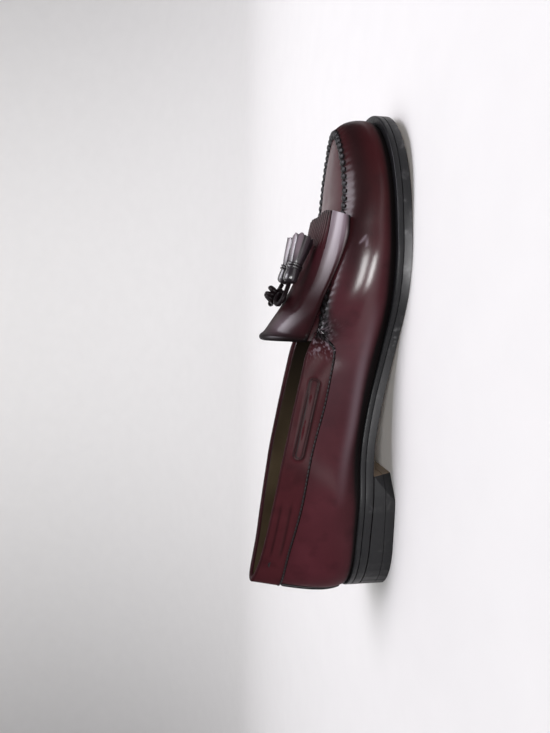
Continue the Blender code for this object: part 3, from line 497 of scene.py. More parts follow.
def rim_faces(groups, count):
    """Faces that close a sheet between its open edges and their copies; one group for each face size."""
    groups = [np.asarray(faces, dtype=np.int64) for faces in groups]
    start = np.concatenate([faces.ravel() for faces in groups])
    end = np.concatenate([np.roll(faces, -1, axis=1).ravel() for faces in groups])
    size = int(start.max()) + 1
    alone = ~np.isin(end * size + start, start * size + end)
    a, b = start[alone], end[alone]
    return np.stack([a, b, b + count, a + count], axis=-1)


def add_object(name, data):
    """A new object in the scene."""
    made = bpy.data.objects.new(name, data)
    bpy.context.scene.collection.objects.link(made)
    return made


def surface(name, points, face_groups, materials, tones=None, smooth_angle=35.0):
    """Mesh object from groups of faces, one group for each material."""
    mesh = bpy.data.meshes.new(name)
    faces = [tuple(int(i) for i in f) for group in face_groups for f in group]
    mesh.from_pydata((np.asarray(points) + SHIFT).tolist(), [], faces)
    index = np.concatenate([np.full(len(group), k) for k, group in enumerate(face_groups)])
    for made in materials:
        mesh.materials.append(made)
    mesh.polygons.foreach_set("material_index", index.astype(np.int32))
    for key, values in (tones or {}).items():
        attribute = mesh.attributes.new(key, "FLOAT", "POINT")
        attribute.data.foreach_set("value", np.asarray(values, dtype=np.float32))
    mesh.validate()
    mesh.shade_smooth()
    mesh.set_sharp_from_angle(angle=math.radians(smooth_angle))
    made = add_object(name, mesh)
    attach(made, "root")
    return made


def sheet_solid(name, under, over, faces, materials, tones=None, smooth_angle=35.0):
    """Closed solid between two point sets with the same faces: outside, inside and edge."""
    count = len(under)
    points = np.concatenate([under, over])
    groups = [faces + count, faces[:, ::-1], rim_faces([faces], count)]
    doubled = {k: np.concatenate([v, v]) for k, v in (tones or {}).items()}
    return surface(name, points, groups, materials, doubled, smooth_angle)


def sheet_normals(points, faces):
    """Unit normal at each point, the mean of the faces round it."""
    normals = np.zeros_like(points)
    corners = points[faces]
    areas = np.cross(corners, np.roll(corners, -1, axis=1)).sum(axis=1)
    for k in range(faces.shape[1]):
        np.add.at(normals, faces[:, k], areas)
    return unit(normals)


def ripple(points, scale, seed=0.0):
    """Smooth noise between about -1 and 1 at each point."""
    offset = Vector((seed, 2.0 * seed, -seed))
    flat = np.asarray(points).reshape(-1, 3) * scale
    values = [noise.noise(Vector(p) + offset) for p in flat.tolist()]
    return np.array(values).reshape(np.asarray(points).shape[:-1])


def tubes(paths, radii, sides=8, flat=1.0, up_hint=None):
    """Round or flattened tubes along paths of shape (tubes, points, 3), with closed ends."""
    paths = np.asarray(paths, dtype=float)
    count, steps = paths.shape[:2]
    tangent = unit(np.gradient(paths, axis=1))
    hint = np.broadcast_to(np.array([0.0, 0.0, 1.0]) if up_hint is None else up_hint, paths.shape)
    side = unit(np.cross(hint, tangent))
    top = np.cross(tangent, side)
    turn = 2.0 * math.pi * np.arange(sides) / sides
    radii = np.broadcast_to(radii, (count, steps))
    ring = (np.cos(turn)[None, None, :, None] * side[:, :, None, :]
            + flat * np.sin(turn)[None, None, :, None] * top[:, :, None, :])
    points = paths[:, :, None, :] + radii[:, :, None, None] * ring
    body = quads(steps, sides, closed=True)
    caps = [np.arange(sides)[::-1], (steps - 1) * sides + np.arange(sides)]
    groups = []
    for k in range(count):
        offset = k * steps * sides
        groups += [tuple(f) for f in (body[:, ::-1] + offset).tolist()]
        groups += [tuple((c[::-1] + offset).tolist()) for c in caps]
    return points.reshape(-1, 3), groups


def smooth_route(points, count):
    """Evenly spaced points on a smooth curve through the route's own points."""
    points = np.array(points)
    chord = run_lengths(points)
    fine = np.linspace(0.0, 1.0, 400)
    rows = {"share": chord / chord[-1], "x": points[:, 0], "y": points[:, 1], "z": points[:, 2]}
    curve = np.stack([read(rows, axis, fine) for axis in "xyz"], axis=-1)
    length = run_lengths(curve)
    at = np.linspace(0.0, length[-1], count)
    return np.stack([np.interp(at, length, curve[:, k]) for k in range(3)], axis=-1)


# Materials

def node(tree, kind, inputs=None, **settings):
    """A shader node with its settings and its inputs, which are values or sockets."""
    made = tree.nodes.new("ShaderNode" + kind)
    for key, value in settings.items():
        setattr(made, key, value)
    for key, value in (inputs or {}).items():
        if isinstance(value, bpy.types.NodeSocket):
            tree.links.new(value, made.inputs[key])
        else:
            made.inputs[key].default_value = value
    return made


def new_material(name, constants):
    """A material with constants on its shader, and its object coordinates."""
    made = bpy.data.materials.new(name)
    made.use_nodes = True
    tree = made.node_tree
    shader = tree.nodes["Principled BSDF"]
    for key, value in constants.items():
        shader.inputs[key].default_value = value
    place = node(tree, "TexCoord").outputs["Object"]
    return made, tree, shader, place


def mix_colour(tree, factor, a, b):
    made = node(tree, "Mix", data_type="RGBA")
    for index, value in ((0, factor), (6, a), (7, b)):
        if isinstance(value, bpy.types.NodeSocket):
            tree.links.new(value, made.inputs[index])
        else:
            made.inputs[index].default_value = value
    return made.outputs[2]


def span(tree, value, low, high, to_low=0.0, to_high=1.0):
    """A value mapped from one range to another, held at its ends."""
    return node(tree, "MapRange", {"Value": value, "From Min": low, "From Max": high,
                                   "To Min": to_low, "To Max": to_high}).outputs["Result"]


def noise_value(tree, place, scale, detail=2.0, stretch=None):
    """Noise, stretched along its axes if asked."""
    if stretch is not None:
        place = node(tree, "Mapping", {"Vector": place, "Scale": stretch}).outputs["Vector"]
    return node(tree, "TexNoise", {"Vector": place, "Scale": scale, "Detail": detail}).outputs["Fac"]


def tone(tree, name):
    """One of the tones that the mesh holds at its points."""
    return node(tree, "Attribute", attribute_name=name).outputs["Fac"]


def bumps(tree, layers):
    """Stacked bump nodes from (height socket, distance, strength) layers."""
    normal = None
    for height, distance, strength in layers:
        inputs = {"Height": height, "Distance": distance, "Strength": strength}
        if normal is not None:
            inputs["Normal"] = normal
        normal = node(tree, "Bump", inputs).outputs["Normal"]
    return normal


def dress(tree, shader, base, roughness, layers):
    """Link the base colour, the roughness and the stacked bumps to the shader."""
    tree.links.new(base, shader.inputs["Base Color"])
    tree.links.new(roughness, shader.inputs["Roughness"])
    tree.links.new(bumps(tree, layers), shader.inputs["Normal"])


# Lilac of the painted highlights, glints and reflections, and of the scratch
SHEEN_AND_SCRATCH_COLOUR = (0.160, 0.122, 0.142, 1.0)


def polished_leather(name, deep, body, glow, roughness, polish, level=0.15):
    """Brush-finished leather: red where burnished, waxed unless dull; dark where shade is painted or the
    leather is darker, pale at painted highlights, glints and reflections and at a scratch.
    """
    made, tree, shader, place = new_material(name, {
        "Coat Roughness": 0.20, "Coat IOR": 1.5, "Specular IOR Level": level})
    cloud = noise_value(tree, place, 18.0, 4.0)
    worn = span(tree, cloud, 0.32, 0.68)
    base = mix_colour(tree, worn, (*[c * 0.66 for c in body], 1.0), (*[c * 1.28 for c in body], 1.0))
    base = mix_colour(tree, tone(tree, "red"), base, (*glow, 1.0))
    stain = span(tree, noise_value(tree, place, 75.0, 5.0), 0.52, 0.74, 0.0, 0.55)
    base = mix_colour(tree, stain, base, (*[c * 0.45 for c in body], 1.0))
    # The tone dark mixes in painted shade and darker leather; the tone pale mixes in painted highlights,
    # glints and reflections, and the scratch
    base = mix_colour(tree, tone(tree, "dark"), base, (*deep, 1.0))
    base = mix_colour(tree, tone(tree, "pale"), base, SHEEN_AND_SCRATCH_COLOUR)
    rubbed = noise_value(tree, place, 55.0, 3.0)
    gloss = span(tree, rubbed, 0.3, 0.7, roughness - 0.06, roughness + 0.06)
    dull = span(tree, tone(tree, "dull"), 0.0, 1.0, 0.0, 0.16)
    gloss = node(tree, "Math", {0: gloss, 1: dull}, operation="ADD", use_clamp=True).outputs[0]
    wax = span(tree, tone(tree, "dull"), 0.0, 1.0, polish, 0.03 * polish)
    tree.links.new(wax, shader.inputs["Coat Weight"])
    pores = noise_value(tree, place, 1500.0, 2.0)
    pull = noise_value(tree, place, 130.0, 2.0, (0.6, 1.0, 1.0))
    dress(tree, shader, base, gloss, ((pull, 0.00035, 0.10), (pores, 0.00005, 0.16)))
    return made


def lining_leather():
    """Tan lining, with painted shade that darkens it from the waist to the toe, inside the shoe."""
    made, tree, shader, place = new_material("lining_leather", {"Specular IOR Level": 0.35})
    cloud = noise_value(tree, place, 28.0, 4.0)
    blend = span(tree, cloud, 0.3, 0.7)
    base = mix_colour(tree, blend, (0.060, 0.040, 0.020, 1.0), (0.110, 0.078, 0.042, 1.0))
    along = node(tree, "SeparateXYZ", {"Vector": place}).outputs["X"]
    # Painted shade: darker towards the toe, inside the shoe
    worn = span(tree, along, -0.07, 0.0, 0.0, 0.85)
    base = mix_colour(tree, worn, base, (0.016, 0.012, 0.009, 1.0))
    pores = noise_value(tree, place, 900.0, 3.0)
    dress(tree, shader, base, span(tree, cloud, 0.3, 0.7, 0.48, 0.62), ((pores, 0.00012, 0.25),))
    return made


def edge_leather(name, base, worn, roughness, brush):
    """Black dressed edge with fine brush lines up its height, rubbed in places."""
    made, tree, shader, place = new_material(
        name, {"Specular IOR Level": 0.22, "Coat Weight": 0.06, "Coat Roughness": 0.3})
    lines = noise_value(tree, place, 420.0, 3.0, (1.0, 1.0, brush))
    rub = noise_value(tree, place, 70.0, 4.0)
    scuff = noise_value(tree, place, 260.0, 5.0)
    marks = node(tree, "Math", {0: span(tree, rub, 0.52, 0.70, 0.0, 0.3), 1: span(tree, scuff, 0.50, 0.66)},
                 operation="MULTIPLY").outputs[0]
    colour = mix_colour(tree, marks, (*base, 1.0), (*worn, 1.0))
    colour = mix_colour(tree, tone(tree, "worn"), colour, (*worn, 1.0))
    gloss = span(tree, lines, 0.3, 0.7, roughness - 0.08, roughness + 0.12)
    dress(tree, shader, colour, gloss, ((lines, 0.00025, 0.35), (scuff, 0.00012, 0.25)))
    return made


def grained(name, constants, grain, low, high, roughness, bump):
    """Material of one grain, which sets its colour, its roughness and its bumps."""
    made, tree, shader, place = new_material(name, constants)
    fine = noise_value(tree, place, *grain)
    base = mix_colour(tree, span(tree, fine, 0.3, 0.7), (*low, 1.0), (*high, 1.0))
    dress(tree, shader, base, span(tree, fine, 0.3, 0.7, *roughness), ((fine, *bump),))
    return made


BROWN_GRAIN = (120.0, 5.0, (0.25, 1.0, 1.0))
UPPER_LEATHER = polished_leather("polished_upper", (0.004, 0.003, 0.003), (0.056, 0.013, 0.018),
                                 (0.046, 0.007, 0.009), 0.42, 0.85, 0.06)
BAND_LEATHER = polished_leather("polished_band", (0.004, 0.003, 0.003), (0.047, 0.012, 0.015),
                                (0.052, 0.010, 0.013), 0.46, 0.04, 0.02)
KILTIE_LEATHER = polished_leather("polished_kiltie", (0.004, 0.003, 0.003), (0.015, 0.003, 0.004),
                                  (0.042, 0.008, 0.012), 0.42, 1.0, 0.03)
TASSEL_LEATHER = polished_leather("polished_tassel", (0.004, 0.003, 0.003), (0.024, 0.018, 0.024),
                                  (0.030, 0.018, 0.024), 0.34, 1.0, 0.4)
LACE_LEATHER = polished_leather("lace_cord", (0.003, 0.002, 0.002), (0.007, 0.004, 0.005),
                                (0.018, 0.007, 0.008), 0.42, 0.08, 0.06)
STAY_LEATHER = polished_leather("black_stay", (0.003, 0.003, 0.003), (0.005, 0.004, 0.005),
                                (0.006, 0.005, 0.006), 0.42, 0.10)
LINING = lining_leather()
SOLE_EDGE = edge_leather("sole_edge_black", (0.009, 0.009, 0.010), (0.360, 0.360, 0.362), 0.40, 0.12)
WELT_EDGE = edge_leather("welt_black", (0.008, 0.008, 0.009), (0.045, 0.045, 0.046), 0.38, 0.12)
HEEL_EDGE = edge_leather("heel_black", (0.011, 0.011, 0.012), (0.110, 0.105, 0.100), 0.42, 0.05)
THREAD = grained("waxed_thread", {"Specular IOR Level": 0.22, "Coat Weight": 0.05, "Coat Roughness": 0.25},
                 (900.0, 2.0), (0.004, 0.004, 0.005), (0.016, 0.014, 0.015), (0.30, 0.50), (0.0002, 0.6))
TREAD = grained("tread_leather", {"Specular IOR Level": 0.4}, BROWN_GRAIN,
                (0.120, 0.070, 0.036), (0.210, 0.135, 0.075), (0.40, 0.60), (0.0003, 0.3))
BREAST = grained("breast_leather", {"Specular IOR Level": 0.4}, BROWN_GRAIN,
                 (0.200, 0.140, 0.090), (0.360, 0.270, 0.190), (0.45, 0.65), (0.0003, 0.3))
RUBBER = grained("lift_rubber", {"Specular IOR Level": 0.35}, (700.0, 3.0),
                 (0.016, 0.016, 0.017), (0.034, 0.034, 0.035), (0.50, 0.68), (0.0002, 0.35))


# Upper

def fine_half():
    """Places from the heel to the toe on one side, evenly spaced along the wall."""
    dense = np.linspace(0.0, 1.0, 4001)
    line = wall(dense, np.full(dense.shape, 0.8))
    run = run_lengths(line)
    throat = float(np.interp(THROAT_AROUND, dense, run))
    back = np.linspace(0.0, throat, int(throat / REAR_SPACING) + 1)
    front = np.linspace(throat, run[-1], int((run[-1] - throat) / FRONT_SPACING) + 1)
    places = np.interp(np.concatenate([back, front[1:]]), run, dense)
    places[len(back) - 1] = THROAT_AROUND
    return places


HALF = fine_half()
LOOP = full_loop(HALF)
SEAM_DENSE = np.linspace(THROAT_AROUND, 1.0, 1501)
SEAM_RUN = {side: run_lengths(rim_point(side * SEAM_DENSE)) for side in (-1.0, 1.0)}


def seam_length(around):
    """Distance along the moccasin seam from the throat, on the place's own side."""
    q = wrap(around)
    size = np.abs(q)
    inner = np.interp(size, SEAM_DENSE, SEAM_RUN[-1.0])
    outer = np.interp(size, SEAM_DENSE, SEAM_RUN[1.0])
    return np.where(q < 0.0, inner, outer)


def seam_pulse(around):
    """1 midway between two stitches of the moccasin seam, 0 at each stitch."""
    return 0.5 - 0.5 * np.cos(2.0 * math.pi * seam_length(around) / STITCH_PITCH)


def crumple(points):
    """Sharp little folds where the leather is gathered at the throat."""
    folds = 1.0 - np.abs(ripple(points * np.array([0.8, 1.0, 1.3]), 330.0, 3.0)) * 2.2
    fine = ripple(points, 800.0, 7.0)
    return GATHER_DEPTH * (folds + 0.3 * fine)


# A bent scratch on the inner side of the vamp: length along the shoe and height of its corners
SCRATCH = ((0.2210, 0.0290), (0.2246, 0.0264), (0.2190, 0.0256))


def scuffed(points):
    """1 on the scratch, 0 a little way off it."""
    flat = np.stack([points[..., 0], points[..., 2]], axis=-1)
    nearest = np.full(flat.shape[:-1], np.inf)
    for start, end in zip(np.array(SCRATCH[:-1]), np.array(SCRATCH[1:])):
        run = end - start
        share = np.clip(((flat - start) @ run) / (run @ run), 0.0, 1.0)
        nearest = np.minimum(nearest, np.linalg.norm(flat - start - share[..., None] * run, axis=-1))
    return bell(nearest / 0.0006) * (points[..., 1] < 0.0)


def folded_tips(points):
    """1 on the sharp tips of the gathered folds, where glints are painted."""
    return smoothstep((crumple(points) / GATHER_DEPTH - 0.72) / 0.35)


# The soft crease along the inner waist: length along the shoe and height
CREASE = table(
    "share  z  depth",
    (0.060, 0.0345, 0.00),
    (0.085, 0.0318, 0.55),
    (0.115, 0.0262, 1.00),
    (0.146, 0.0222, 1.00),
    (0.170, 0.0185, 0.55),
    (0.190, 0.0165, 0.00),
)
CREASE_HEIGHT = 0.0016
CREASE_DROP = 0.0085
CREASE_ABOVE = 0.0090
CREASE_BELOW = 0.0040


def wall_relief(around, up, point):
    """How far the finished leather stands off the plain wall."""
    x, z = point[..., 0], point[..., 2]
    below = (1.0 - up) * wall_height(around)
    fade = seam_fade(around)
    pucker = seam_pulse(around) - 0.55
    relief = PUCKER_DEPTH * pucker * bell(below / PUCKER_REACH) * fade
    inner = (wrap(around) < 0.0)
    line = read(CREASE, "z", x)
    fold = read(CREASE, "depth", x) * CREASE_HEIGHT * inner
    flank = np.where(z > line, CREASE_ABOVE, CREASE_BELOW)
    relief += fold * (bell((z - line) / flank) - 0.35 * bell((z - line + CREASE_DROP) / CREASE_BELOW))
    gather = bell((x - 0.1660) / 0.0080) * bell(below / 0.0095)
    relief += gather * crumple(point)
    relief += 0.00012 * ripple(point, 60.0) * smoothstep(up / 0.15)
    return relief


def upper_shades(around, up, point):
    """The upper's four tones at each place.

    Painted shade beside the sole, under the seam, in the throat's gathers, under the crease and on the
    vamp's walls; red towards the toe; dull, without wax, except on the vamp; a painted highlight on the
    crease, a faint painted sheen on the quarter, painted glints on folded tips, and the scratch.
    """
    x, z = point[..., 0], point[..., 2]
    above = up * wall_height(around)
    below = (1.0 - up) * wall_height(around)
    fade = seam_fade(around)
    # Painted shade beside the sole, under the seam, in the gathers and under the crease
    dark = 0.95 * bell(above / 0.0032) + 0.35 * bell(above / 0.012)
    dark = dark + 0.85 * fade * bell(below / 0.0016) * (1.0 - 0.5 * seam_pulse(around))
    dark = dark + 1.2 * bell((x - GATHER_X) / 0.010) * bell(below / 0.011)
    dark = dark + 0.9 * bell((x - 0.1800) / 0.015) * bell(below / 0.0040)
    line = read(CREASE, "z", x)
    fold = read(CREASE, "depth", x) * (wrap(around) < 0.0)
    dark = dark + 0.85 * fold * bell((z - line + CREASE_DROP) / 0.0050)
    red = smoothstep((x - 0.190) / 0.07) * 0.9 + 0.12
    dull = 1.0 - smoothstep((x - 0.140) / 0.045) * smoothstep((up - 0.20) / 0.16)
    dull = dull + 0.35 * fade * bell(below / 0.0050) + 0.7 * smoothstep((x - 0.250) / 0.025)
    dull = dull - bell((x - GATHER_X) / 0.0090) * bell(below / 0.0100)
    # Painted shade on the vamp's walls towards the toe
    shade = 0.40 * smoothstep((x - 0.165) / 0.04) * smoothstep((0.30 - up) / 0.30)
    shade = shade + 0.68 * smoothstep((x - 0.170) / 0.05) * bell((up - 0.68) / 0.26)
    dark = dark + shade
    # Painted highlight along the crease, a faint painted sheen on the quarter, painted glints on the
    # gathered folds, and the scratch
    pale = 0.42 * fold * bell((z - line - 0.0010) / 0.0030)
    pale = pale + 0.09 * bell((x - 0.140) / 0.030) * bell((up - 0.60) / 0.35)
    pale = pale + 0.8 * folded_tips(point) * bell((x - GATHER_X) / 0.0085) * bell(below / 0.0085)
    pale = pale + 0.9 * scuffed(point)
    return [np.clip(values, 0.0, 1.0) for values in (dark, red, dull, pale)]


BACKWARD = [0, 3, 2, 1]


def build_upper():
    """Leather shell: walls, the moccasin seam's ridge, and the plug and tongue between its halves."""
    count = len(LOOP)
    levels = np.concatenate([np.linspace(0.0, 0.74, 24), np.linspace(0.76, 1.0, 17)])
    base, outer = [], []
    tones = {"dark": [], "red": [], "dull": [], "pale": []}

    def add(points, raised, shades):
        start = len(base)
        base.extend(points)
        outer.extend(raised)
        for values, shade in zip(tones.values(), shades):
            values.extend(np.full(len(points), shade))
        return np.arange(start, start + len(points))

    foot = wall(LOOP, np.zeros(count))
    skirt = foot.copy()
    skirt[:, 2] = welt_bottom(foot[:, 0])
    # Painted shade on the skirt below the wall's foot
    rows = [add(skirt, skirt, (1.0, 0.0, 1.0, 0.0))]
    for level in levels:
        ups = np.full(count, level)
        face = wall(LOOP, ups)
        raised = face + wall_normal(LOOP, ups) * wall_relief(LOOP, ups, face)[:, None]
        rows.append(add(face, raised, upper_shades(LOOP, ups, face)))
    grid = np.array(rows)
    faces = [grid.ravel()[quads(*grid.shape, closed=True)][:, BACKWARD]]

    # Ridge of the moccasin seam, from the inner throat round the toe to the outer throat
    inner_throat = int(np.argmin(np.abs(LOOP + THROAT_AROUND)))
    outer_throat = int(np.argmin(np.abs(LOOP - THROAT_AROUND)))
    columns = np.concatenate([np.arange(inner_throat, -1, -1), np.arange(count - 1, outer_throat - 1, -1)])
    places = LOOP[columns]
    strips = [grid[-1][columns]]
    top_relief = wall_relief(places, np.ones(len(places)), rim_point(places))
    normal = wall_normal(places, np.ones(len(places)))
    for inset in np.linspace(0.0, 1.0, 9)[1:]:
        ridge = (1.0 - abs(2.0 * inset - 1.0)**2.6) * (0.80 + 0.30 * seam_pulse(places))
        face = seam_point(places, inset, 0.0)
        raised = seam_point(places, inset, ridge) + normal * (top_relief * (1.0 - inset)**2)[:, None]
        gather = bell((face[:, 0] - 0.1640) / 0.0065)
        raised[:, 2] += gather * crumple(face) * (1.0 - inset)
        # Painted shade on the seam's ridge, with painted glints on its gathered tips
        strips.append(add(face, raised, (1.0, 0.2, 0.8, 0.7 * folded_tips(face) * gather)))
    ridge_grid = np.array(strips)
    faces.append(ridge_grid.ravel()[quads(*ridge_grid.shape)])

    # Plug and tongue between the two halves of the seam
    steps = 44
    across = np.sin(0.5 * math.pi * np.linspace(-1.0, 1.0, steps + 1))[1:-1]
    rungs = []
    for k in range(inner_throat):
        around = np.full(across.shape, places[k])
        face = plug_point(around, across)
        edge = (1.0 - np.abs(across)) * np.abs(face[:, 1]).max()
        pinch = 0.00022 * (seam_pulse(around) - 0.5) * bell(edge / 0.0032) * seam_fade(around)
        raised = face.copy()
        raised[:, 2] += pinch + 0.00006 * ripple(face, 90.0, 5.0)
        # Painted shade along the plug's edges beside the seam
        dark_here = np.clip(0.55 * bell(edge / 0.0022), 0.0, 1.0)
        middle = add(face, raised, (dark_here, 0.25, 0.35, 0.0))
        rungs.append(np.concatenate([[strips[-1][k]], middle, [strips[-1][-1 - k]]]))
    rungs = np.array(rungs)
    faces.append(rungs.ravel()[quads(*rungs.shape)][:, BACKWARD])
    tip = strips[-1][inner_throat]
    tips = [[rungs[-1][j], tip, rungs[-1][j + 1]] for j in range(steps)]

    base = np.array(base)
    outer = np.array(outer)
    faces = np.concatenate(faces)
    normals = sheet_normals(base, faces)
    inside = base - normals * WALL
    inside[rows[0], 2] = outer[rows[0], 2]
    total = len(base)
    tips = np.array(tips)
    outside_faces = (faces + total).tolist() + (tips + total).tolist()
    inside_faces = faces[:, ::-1].tolist() + tips[:, ::-1].tolist()
    rim = rim_faces([faces, tips], total)
    shades = {key: np.concatenate([values, values]) for key, values in tones.items()}
    made = surface("upper_leather", np.concatenate([inside, outer]), [outside_faces, inside_faces, rim],
                   [UPPER_LEATHER, LINING, UPPER_LEATHER], shades, 60.0)
    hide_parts("upper")


def build_seam_stitches():
    """Whip stitches over the moccasin seam's ridge."""
    paths = []
    lean = 0.32 * STITCH_PITCH
    for side in (-1.0, 1.0):
        for s in np.arange(0.5 * STITCH_PITCH, SEAM_RUN[side][-1], STITCH_PITCH):
            spots = np.interp(np.array([s - lean, s, s + lean]), SEAM_RUN[side], SEAM_DENSE) * side
            t = np.linspace(0.0, 1.0, 9)
            around = np.interp(t, (0.0, 0.5, 1.0), spots)
            inset = -0.12 + 1.24 * t
            point = rim_point(around)
            point[:, :2] -= outward(rim_plan, around) * (seam_width(spots[1]) * inset)[:, None]
            arc = np.sin(math.pi * np.clip(t, 0.02, 0.98))**0.6
            loose = 1.0 + 0.10 * math.sin(2.1 * s / STITCH_PITCH + side)
            point[:, 2] += SEAM_HEIGHT * seam_fade(spots[1]) * 0.98 * loose * arc - 0.0003
            paths.append(point)
    swell = 0.75 + 0.25 * np.sin(math.pi * np.linspace(0.0, 1.0, 9))
    points, faces = tubes(paths, THREAD_RADIUS * swell, 10, THREAD_FLATNESS)
    made = surface("seam_stitches", points, [faces], [THREAD], smooth_angle=60.0)


# Collar band

def band_places(spacing=0.0008):
    """Places round the collar from throat to throat, evenly spaced along the band."""
    half = even_places(lambda q: wall(q, np.full(q.shape, 0.85)), float(around_at_x(BAND_FRONT)), spacing)
    return np.concatenate([-half[:0:-1], half])


def slot_ends(side):
    """Ends of the slot's middle line in the side view, as (x, z)."""
    ends = []
    for x, share in ((SLOT_BACK, SLOT_BACK_HEIGHT), (SLOT_FRONT, SLOT_FRONT_HEIGHT)):
        place = np.array([side * float(around_at_x(x))])
        up = ups_at(place, np.array([share]))
        ends.append(wall(place, up)[0][[0, 2]])
    return ends


SLOTS = {side: slot_ends(side) for side in (-1.0, 1.0)}


def slot_distance(point, side):
    """Distance in the side view from the slot's edge, negative inside the slot."""
    a, b = SLOTS[side]
    half = 0.5 * SLOT_WIDTH
    run = (b - a) / np.linalg.norm(b - a)
    start, end = a + run * half, b - run * half
    flat = point[..., [0, 2]]
    t = np.clip(((flat - start) @ run) / np.linalg.norm(end - start), 0.0, 1.0)
    nearest = start + t[..., None] * (end - start)
    return np.linalg.norm(flat - nearest, axis=-1) - half


# Where the lace runs hidden under the band behind the slot, and its little exit slit
COVERED_BACK = 0.0265
COVERED_FRONT = 0.0620
COVERED_HEIGHT = 0.865
SLIT_X = 0.0210
SLIT_HEIGHT = 0.895
SLIT_LENGTH = 0.0042
SLIT_BEND = 0.0007
SLIT_RADIUS = 0.00062


def covered_reach(x):
    """1 where the hidden lace lifts the band, fading to 0 at both of its ends."""
    return smoothstep((x - COVERED_BACK + 0.004) / 0.010) * smoothstep((COVERED_FRONT + 0.006 - x) / 0.012)


def band_relief(around, point, share):
    """How far the band stands off its own thickness: lips, hidden lace, gathers and pull."""
    x = point[..., 0]
    side_slot = np.where(wrap(around) < 0.0, slot_distance(point, -1.0), slot_distance(point, 1.0))
    lip = 0.00022 * bell((side_slot - 0.0005) / 0.0008)
    covered = covered_reach(x)
    rise = (share - COVERED_HEIGHT) * wall_height(around)
    bulge = 0.0006 * bell(rise / 0.0024) - 0.00035 * bell((np.abs(rise) - 0.0032) / 0.0010)
    front = smoothstep((x - 0.154) / 0.010)
    return lip + covered * bulge + front * 0.7 * crumple(point) + 0.00010 * ripple(point, 70.0, 11.0)


def band_low(places):
    """Lower edge of the band as a share of the wall's height; it curves up at the throat."""
    low = both(BAND, "", places)
    sweep = smoothstep((x_at(places) - BAND_SWEEP_X) / BAND_SWEEP_LENGTH)**1.6
    return low + (BAND_SWEEP_TOP - low) * sweep


def build_band():
    """Overlay round the collar that rolls over the rim, with a lace slot on each side."""
    places = band_places()
    count = len(places)
    low = band_low(places)
    high = 1.0 - BAND_TOP_INSET / wall_height(places)
    under, over, dark, red, pale = [], [], [], [], []
    for t in np.linspace(0.0, 1.0, BAND_ROWS):
        share = low + (high - low) * t
        ups = ups_at(places, share)
        face = wall(places, ups)
        normal = wall_normal(places, ups)
        edge = (share - low) * wall_height(places)
        thin = smoothstep(edge / 0.0009) * 0.75 + 0.25
        lift = (BAND_THICKNESS + band_relief(places, face, share)) * thin
        under.append(face + normal * GAP)
        over.append(face + normal * (GAP + lift)[:, None])
        near_slot = np.minimum(np.abs(slot_distance(face, -1.0)), np.abs(slot_distance(face, 1.0)))
        rise = (share - COVERED_HEIGHT) * wall_height(places)
        channel = covered_reach(face[:, 0]) * bell((np.abs(rise) - 0.0030) / 0.0008)
        # Painted shade along the band's lower edge, round the slots, beside the hidden lace and at its
        # front by the throat
        dark.append(np.clip(0.85 * bell(edge / 0.0017) + 0.85 * bell(near_slot / 0.0008) + 0.5 * channel
                            + 1.0 * bell((face[:, 0] - 0.168) / 0.008), 0.0, 1.0))
        red.append(np.full(count, 0.35))
        # Painted glints on the gathered folds at the band's front
        pale.append(folded_tips(face) * bell((face[:, 0] - 0.1600) / 0.0055))
    top = wall(places, ups_at(places, high))
    out = wall_normal(places, ups_at(places, high))
    radius = 0.5 * (BAND_THICKNESS + WALL + GAP)
    centre = top - out * (WALL - radius + 0.0001)
    for angle in np.linspace(0.16, 1.0, 7) * math.pi:
        for sheet, r in ((under, radius - BAND_THICKNESS), (over, radius + 0.0002)):
            sheet.append(centre + out * (math.cos(angle) * r) + np.array([0.0, 0.0, math.sin(angle) * r]))
        dark.append(np.full(count, 0.45))
        red.append(np.full(count, 0.25))
        pale.append(np.zeros(count))
    faces = quads(len(under), count)
    shades = {"dark": np.concatenate(dark), "red": np.concatenate(red), "pale": np.concatenate(pale)}
    band = sheet_solid("band_leather", np.concatenate(under), np.concatenate(over), faces[:, ::-1],
                       [BAND_LEATHER] * 3, shades, 50.0)
    for side, label in SIDES:
        cut_slot(band, side, label)
    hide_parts("collar_band")


def cut_slot(band, side, label):
    """Round-ended hole for the lace, cut straight through the band from the side."""
    a, b = SLOTS[side]
    half = 0.5 * SLOT_WIDTH
    tilt = math.atan2(b[1] - a[1], b[0] - a[0])
    run = np.array([math.cos(tilt), math.sin(tilt)]) * half
    outline = []
    for centre, start in ((b - run, -0.5 * math.pi), (a + run, 0.5 * math.pi)):
        for k in range(13):
            angle = tilt + start + math.pi * k / 12
            outline.append((centre[0] + half * math.cos(angle), centre[1] + half * math.sin(angle)))
    near = [(x, side * 0.2 * BALL_WIDTH, z) for x, z in outline]
    far = [(x, side * 0.5 * BALL_WIDTH, z) for x, z in outline]
    count = len(outline)
    faces = [tuple(range(count)), tuple(reversed(range(count, 2 * count)))]
    faces += [(k, count + k, count + (k + 1) % count, (k + 1) % count) for k in range(count)]
    if side > 0:
        faces = [f[::-1] for f in faces]
    mesh = bpy.data.meshes.new("cutter_" + label)
    mesh.from_pydata((np.array(near + far) + SHIFT).tolist(), [], faces)
    mesh.materials.append(BAND_LEATHER)
    cutter = add_object("cutter_" + label, mesh)
    cut = band.modifiers.new("slot_" + label, "BOOLEAN")
    cut.operation = "DIFFERENCE"
    cut.object = cutter
    apply_modifiers(band)
    bpy.data.objects.remove(cutter, do_unlink=True)


def apply_modifiers(made):
    """Put the modified mesh in place of the object's own."""
    depsgraph = bpy.context.evaluated_depsgraph_get()
    depsgraph.update()
    result = bpy.data.meshes.new_from_object(made.evaluated_get(depsgraph))
    made.modifiers.clear()
    made.data = result


